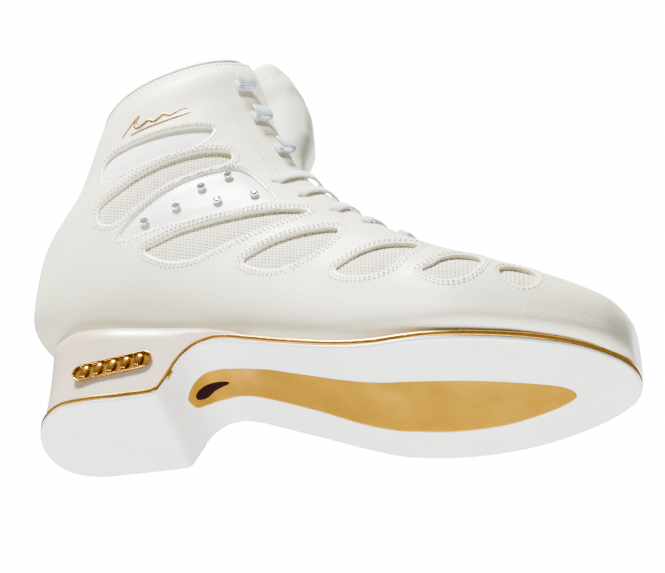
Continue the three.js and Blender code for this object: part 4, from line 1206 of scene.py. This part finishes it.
def lace_bar(t, skew):
    """A flat lace out of one hole, straight over the tongue and into the hole across."""
    stops = [(-1, -4.5), (-1, -1.6), (-0.99, 0.3), (-0.95, 1.0), (-0.88, LACE_RISE)]
    stops += [(s / 10, LACE_RISE) for s in range(-8, 9, 2)]
    stops += [(-s, rise) for s, rise in reversed(stops[:5])]
    path, ups = [], []
    angles = {side: eyelet_angle(t, side) for _, side in SIDES}
    for share, rise in stops:
        side = OUTER if share < 0 else INNER
        angle = angles[side] * abs(share)
        path.append(on_last(t + skew * share, angle, rise))
        ups.append(last_normal(t, angle) if abs(share) < 0.97 else
                   last_normal(t, angle) * 0.5 + Vector((0, side, 0)))
    finer, lifted = (
        [a.lerp(b, k / 3) for a, b in zip(line, line[1:]) for k in range(3)] + line[-1:]
        for line in (path, ups))
    return tube(eased_line(finer), lifted, rounded(LACE_WIDTH, LACE_DEEP, 0.6, 2))


def eased_line(points):
    """The same number of points, each drawn towards its neighbours."""
    for _ in range(2):
        points = [points[0]] + [
            (a + b * 2 + c) / 4 for a, b, c in zip(points, points[1:], points[2:])] + [points[-1]]
    return points


laces = finished(
    "lace_bars", joined([lace_bar(t, 0.05 * (-1) ** i) for i, t in enumerate(EYELET_STATIONS)]),
    LOOKS["lace"])
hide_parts("lace", "lace_knot")

# ---- hooks and crystals -----------------------------------------------------------------------
HOOK_PATH = [(-4.2, 0.45), (-2.5, 0.45), (0, 0.45), (2.2, 0.45), (3.6, 0.75), (4.8, 1.7),
             (5.2, 2.8), (4.7, 3.8), (3.6, 4.35), (2, 4.45), (0, 4.4), (-2, 4.45), (-3.8, 4.75),
             (-4.8, 5.2)]
HOOK_GROW = [0.9, 1, 1, 0.98, 0.92, 0.86, 0.84, 0.86, 0.92, 0.98, 1, 1.02, 1, 0.9]


def hook_mesh(t, back, side):
    angle = angle_at(t, throat_width(t) + back, side)
    normal = last_normal(t, angle)
    forward = on_last(t, angle - side * 0.05, 0) - last_point(t, angle)
    forward = (forward - normal * forward.dot(normal)).normalized()
    foot = on_last(t, angle, 0.55)
    path = [foot + forward * a + normal * b for a, b in HOOK_PATH]
    ups = []
    for i in range(len(HOOK_PATH)):
        ahead = path[min(i + 1, len(path) - 1)] - path[max(i - 1, 0)]
        ups.append(ahead.cross(forward.cross(normal)))
    plate = tube(path, ups, rounded(6.4, 0.9, 0.4, 2), HOOK_GROW)
    rivet = blank()
    bmesh.ops.create_uvsphere(rivet, u_segments=12, v_segments=8, radius=1)
    side_way = forward.cross(normal)
    for v in rivet.verts:
        x, y, z = v.co
        v.co = world(foot + forward * (x * 1.5 - 1.6) + side_way * y * 1.5
                     + normal * (0.9 + z * 0.5))
    bmesh.ops.recalc_face_normals(rivet, faces=rivet.faces[:])
    # The dark strip under the top plate is painted shade: it stands where the gap between plate and
    # leather lies in shadow.
    under = [p - normal * 0.62 + forward * (0.5 if i > 12 else 0) for i, p in enumerate(path)][7:]
    shade_strip = tube(under, ups[7:], rounded(6.2, 0.7, 0.3, 2), HOOK_GROW[7:])
    return joined([plate, rivet]), shade_strip


for label, side in SIDES:
    for i, (t, back) in enumerate(HOOK_PLACES):
        plate, shade_strip = hook_mesh(t, back, side)
        # The hook plates carry a painted reflection in place of bare steel.
        piece = finished(f"lace_hook_{label}_{i + 1}", plate, LOOKS["painted_reflection"])
        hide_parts(f"hook_{label}_{i + 1}")
        # Each hook's painted shade strip, dark under its top plate.
        finished(f"hook_gap_shade_{label}_{i + 1}", shade_strip, LOOKS["shade"])


def crystal_mesh(x, z):
    """A faceted stone: a table, a ring of crown facets and a girdle."""
    t, angle = locate(x, z, OUTER)
    normal = last_normal(t, angle)
    across = normal.cross(UP).normalized()
    upward = across.cross(normal)
    bm = bmesh.new()
    bmesh.ops.create_cone(bm, cap_ends=True, segments=8, radius1=1.85, radius2=0.95, depth=0.9)
    top = max(bm.faces, key=lambda f: f.calc_center_median().z)
    bmesh.ops.bevel(bm, geom=[e for e in top.edges], offset=0.3, segments=1, affect="EDGES",
                    profile=0.5, material=-1)
    seat = on_last(t, angle, 0.55)
    for v in bm.verts:
        p = v.co.copy()
        v.co = world(seat + across * p.x + upward * p.y + normal * (p.z + 0.45))
    bmesh.ops.recalc_face_normals(bm, faces=bm.faces[:])
    ring_path = [seat + across * a + upward * b + normal * 0.15 for a, b in oval(2, 2, 20)]
    return bm, tube(ring_path, [normal] * 20, rounded(0.5, 0.9, 0.2, 1), looped=True)


for i, (x, z) in enumerate(CRYSTALS):
    stone, setting = crystal_mesh(x, z)
    gem = finished(f"crystal_stone_{i + 1}", stone, LOOKS["crystal"], flat=True)
    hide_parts(f"crystal_{i + 1}")
    finished(f"crystal_setting_{i + 1}", setting, LOOKS["steel"])


# ---- sole, inlay and piping -------------------------------------------------------------------
EDGE_INSET = 1.2


def sole_x(v):
    """Positions along the sole, closer together over the breast."""
    if v < 0.25:
        return between(HEEL_BACK - 3, 66, v / 0.25)
    if v < 0.42:
        return between(66, 94, (v - 0.25) / 0.17)
    return between(94, TOE_TIP + 3, (v - 0.42) / 0.58)


def plan_sheet(field, rise, columns, rows, x_range=None, y_range=(-44, 44)):
    """A sheet on the sole's underside, kept where field is above 0, facing down."""
    def place(x, y):
        return world((x, y, underside(x, y) + (rise(x, y) if callable(rise) else rise)))

    def spot_at(u, v):
        return between(*x_range, u) if x_range else sole_x(u), between(*y_range, v)

    bm, spots = laid_sheet(columns, rows, spot_at, place)
    cut(bm, spots, place, field)
    bm.normal_update()
    if sum(f.normal.z for f in bm.faces) > 0:
        bmesh.ops.reverse_faces(bm, faces=bm.faces[:])
    return bm


def sole_mesh():
    def field(x, y):
        return min(-(sole_plan.distance(x, y) + EDGE_INSET), inlay_plan.distance(x, y))

    bm = plan_sheet(field, 0, 190, 64)
    rims, holes = [], []
    for edge in (e for e in bm.edges if e.is_boundary):
        middle = (edge.verts[0].co + edge.verts[1].co) / 2 / MM - FRAME_SHIFT
        near_inlay = abs(inlay_plan.distance(middle.x, middle.y)) < 1
        (holes if near_inlay else rims).append(edge)
    turn_edges(bm, rims, [(0.5, 0.1), (0.9, 0.38), (1.13, 0.8), (1.2, 1.3), (1.2, 1.65), (1.1, 1.8),
                          (-1.4, 1.85), (-2.2, 1.85)], down=UP)
    turn_edges(bm, holes, [(0.15, 0.05), (0.28, 0.22), (0.3, 0.8)], down=UP)
    return bm


outsole = finished("outsole_shell", sole_mesh(), LOOKS["sole"])
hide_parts("outsole")

inlay = finished(
    "inlay_plate",
    plan_sheet(lambda x, y: min(0.25 - inlay_plan.distance(x, y), window_plan.distance(x, y) + 0.1),
               0.4, 136, 34, (74, 245), (-20, 25)),
    LOOKS["inlay"])
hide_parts("sole_inlay")
dark_window = finished(
    "window_lens",
    plan_sheet(lambda x, y: 0.3 - window_plan.distance(x, y),
               lambda x, y: 0.55 - 0.4 * smooth(-window_plan.distance(x, y) / 2), 48, 28, (76, 96),
               (-6, 7)),
    LOOKS["dark"])
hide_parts("sole_window")


def piping_mesh():
    path = []
    for p, n in zip(sole_plan.line, sole_plan.outward):
        spot = p - n * (PIPING_RADIUS - PIPING_PROUD)
        level = underside(spot.x, spot.y) + RIM + PIPING_SEAT + PIPING_RADIUS
        path.append(Vector((spot.x, spot.y, level)))
    return tube(path, [UP] * len(path), oval(PIPING_RADIUS, PIPING_RADIUS, 14), looped=True)


piping = finished("piping_cord", piping_mesh(), LOOKS["piping"])
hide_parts("welt_piping")


def reach_upper(start, inward):
    """Where a line from a point inwards meets the leather, a little under its face."""
    hit = last_tree.ray_cast(world(start), inward, 0.06)
    if hit[0] is None:
        return start + inward * 3
    return hit[0] / MM - FRAME_SHIFT + inward * 1.0


def plan_ring(low_x, high_x):
    """Places along the plan between two positions, outer side first where it closes at an end."""
    line = [(p, n) for p, n in zip(sole_plan.line, sole_plan.outward) if low_x <= p.x <= high_x]
    if low_x < HEEL_BACK:
        split = max(range(len(line)), key=lambda i: (line[i][0] - line[i - 1][0]).length)
        line = line[split:] + line[:split]
    return line


heel_ring = plan_ring(-10, 112)
WALL_STEPS = (0, 0.12, 0.3, 0.5, 0.7, 0.86, 1)
SHOULDER_STEPS = {7: (0.25, 0.12), 8: (0.9, 0.55), 9: (1.5, 0.95), 10: (2.0, 1.0)}
HEEL_LEAN, HEEL_LEAN_END, HEEL_SPREAD, HEEL_FLARE = 0.12, 40, 0.0006, -0.9


def heel_wall_point(p, n, z):
    lean = HEEL_LEAN * z * max(0, 1 - p.x / HEEL_LEAN_END)
    flare = HEEL_FLARE * math.sin(math.pi * min(max(z / 48, 0), 1))
    return Vector((p.x - lean, p.y * (1 + HEEL_SPREAD * z), z)) + n.to_3d() * (flare - 0.7)


def heel_mesh():
    columns = len(heel_ring) - 1
    rows = 12

    def place(u, v):
        p, n = heel_ring[round(u * columns)]
        inward = Vector((-n.x, -n.y, 0.12)).normalized()
        low = underside(p.x, p.y) + PIPING_TOP - 0.5
        crest = max(CREST(p.x) - 0.4, low + 0.3)
        band = min(2.6, (crest - low) * 0.4)
        k = round(v * rows)
        if k < 7:
            z = low + (crest - band - low) * WALL_STEPS[k]
            return heel_wall_point(p, n, z)
        shoulder = heel_wall_point(p, n, crest - band)
        if k in SHOULDER_STEPS:
            inwards, up = SHOULDER_STEPS[k]
            return shoulder - n.to_3d() * inwards + UP * band * up
        top = shoulder - n.to_3d() * 2.0 + UP * band
        end = reach_upper(top, inward)
        return top.lerp(end, 0.5) if k == 11 else end

    bm = grid(columns, rows, place)
    face_outwards(bm, (50, -26, 25))
    return bm


heel = finished("heel_shell", heel_mesh(), LOOKS["heel"])
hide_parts("heel_block")

bed_ring = plan_ring(104, 300)


def bed_mesh():
    columns = len(bed_ring) - 1
    rows = 6

    def place(u, v):
        p, n = bed_ring[round(u * columns)]
        inward = Vector((-n.x, -n.y, 0.5)).normalized()
        low = underside(p.x, p.y) + RIM
        start = Vector((p.x, p.y, low)) - n.to_3d() * 2.0
        k = round(v * rows)
        if k < 3:
            return start + UP * (PIPING_TOP - RIM - 0.4) * k / 2
        top = start + UP * (PIPING_TOP - RIM - 0.1) - n.to_3d() * 0.4
        end = reach_upper(top, inward)
        return top.lerp(end, (k - 3) / 3)

    bm = grid(columns, rows, place)
    face_outwards(bm, (190, -40, 3))
    return bm


finished("sole_bed", bed_mesh(), LOOKS["sole"])

# ---- badge and flourish -----------------------------------------------------------------------
BADGE_AT, BADGE_LENGTH, BADGE_HEIGHT, BADGE_TILT = (48.5, 19.5), 36, 8.2, math.radians(7)


def badge_mesh():
    """A plain stadium plate with a raised border and a row of slanted bars."""
    wall = -25.2
    forward = Vector((math.cos(BADGE_TILT), 0, math.sin(BADGE_TILT)))
    upward = Vector((-math.sin(BADGE_TILT), 0, math.cos(BADGE_TILT)))
    outward = Vector((0, -1, 0))
    centre = Vector((BADGE_AT[0], wall, BADGE_AT[1]))

    def spot(a, b, c):
        return centre + forward * a + upward * b + outward * c

    half = BADGE_LENGTH / 2 - BADGE_HEIGHT / 2
    outline = []
    for end in (1, -1):
        for k in range(13):
            turn = math.pi * k / 12 - math.pi / 2 * end
            outline.append((end * half + BADGE_HEIGHT / 2 * math.cos(turn),
                            BADGE_HEIGHT / 2 * math.sin(turn)))
    border = tube([spot(a, b, 0.15) for a, b in outline], [outward] * len(outline),
                  rounded(0.8, 1.0, 0.3, 2), looped=True)
    plate = blank()
    made = bmesh.ops.create_circle(plate, cap_ends=True, segments=len(outline), radius=1)["verts"]
    for v, (a, b) in zip(made, outline):
        v.co = world(spot(a, b, -0.35))
    bars = []
    for k in range(5):
        middle = -12.4 + 6.2 * k
        path = [spot(middle + s * 1.1, s * 2.7, 0.3) for s in (-1, -0.6, -0.2, 0.2, 0.6, 1)]
        bars.append(tube(path, [outward] * 6, rounded(3.2, 1.5, 0.5, 2),
                         [0.6, 0.95, 1, 1, 0.95, 0.6]))
    whole = joined([border, plate, *bars])
    bmesh.ops.recalc_face_normals(whole, faces=whole.faces[:])
    return whole


badge = finished("badge_plate", badge_mesh(), LOOKS["badge"])
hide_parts("heel_badge")

FLOURISHES = [
    [(31, 155), (34, 160), (37.5, 165.5), (39, 167.5), (38, 165), (37, 161), (38.5, 159),
     (41.5, 160.5), (44, 163.5), (45.5, 162.5), (47, 161.5), (49.5, 163.5), (51.5, 166),
     (53.5, 165), (55.5, 164.5), (58, 166.5), (60.5, 168.5), (63, 168)],
    [(36, 155), (43, 158), (51, 160.5), (59, 163.2), (65, 165.5)],
]


def flourish_mesh():
    """A plain looping ornament, raised a little from the leather."""
    parts = []
    for points in FLOURISHES:
        line = eased([Vector(p) for p in points], 3)
        path, ups, guess = [], [], None
        for p in line:
            guess = locate(p.x, p.y, OUTER, guess)
            path.append(on_last(*guess, 0.12))
            ups.append(last_normal(*guess))
        count = len(path)
        sizes = [0.35 + 0.65 * math.sin(math.pi * (k + 1) / (count + 1)) for k in range(count)]
        parts.append(tube(path, ups, rounded(1.7, 0.5, 0.2, 1), sizes))
    return joined(parts)


finished("cuff_flourish", flourish_mesh(), LOOKS["flourish"])


# ---- floor and light --------------------------------------------------------------------------
def floor_look():
    """Pale floor, seen only from above, so that the underside of the boot stays in view."""
    material = bpy.data.materials.new("pale_floor")
    material.use_nodes = True
    tree = material.node_tree
    tree.nodes.clear()
    out = add(tree, "OutputMaterial")
    paint, clear = add(tree, "BsdfDiffuse"), add(tree, "BsdfTransparent")
    paint.inputs["Color"].default_value = (0.86, 0.86, 0.85, 1)
    path, side = add(tree, "LightPath"), add(tree, "NewGeometry")
    front = calculate(tree, "SUBTRACT", 1, side.outputs["Backfacing"])
    seen = times(tree, path.outputs["Is Camera Ray"], front)
    mix = add(tree, "MixShader")
    tree.links.new(seen, mix.inputs[0])
    tree.links.new(clear.outputs[0], mix.inputs[1])
    tree.links.new(paint.outputs[0], mix.inputs[2])
    tree.links.new(mix.outputs[0], out.inputs["Surface"])
    return material


floor_bm = bmesh.new()
bmesh.ops.create_grid(floor_bm, x_segments=1, y_segments=1, size=4)
for v in floor_bm.verts:
    v.co.z = -0.0004
floor = finished("floor", floor_bm, floor_look(), body=None)


def soft_light(name, place, aim, size, power, tint=(1, 1, 1)):
    data = bpy.data.lights.new(name, "AREA")
    data.size, data.energy, data.color = size, power, tint
    lamp = linked(name, data)
    lamp.location = place
    lamp.rotation_mode = "QUATERNION"
    lamp.rotation_quaternion = (Vector(aim) - Vector(place)).to_track_quat("-Z", "Y")


soft_light("key_above_left", (-0.5, -0.8, 1.6), (0, 0, 0.08), 0.45, 230)
soft_light("fill_below_front", (0.05, -0.12, -1.6), (0, 0, 0.03), 1.0, 100)
soft_light("back_inner", (0.6, 1.3, 0.9), (0, 0, 0.08), 1.0, 40)
soft_light("below_heel", (-1.0, -0.3, -0.8), (0, 0, 0.02), 0.8, 10)

studio = bpy.data.worlds.new("studio")
bpy.context.scene.world = studio
studio.use_nodes = True
sky = studio.node_tree
background = sky.nodes["Background"]
background.inputs["Color"].default_value = (1, 1, 1, 1)
shown = add(sky, "LightPath")
LIT_STRENGTH, SEEN_STRENGTH = 0.34, 16.0
sky.links.new(ramp(sky, shown.outputs["Is Camera Ray"], 0, 1, LIT_STRENGTH, SEEN_STRENGTH),
              background.inputs["Strength"])
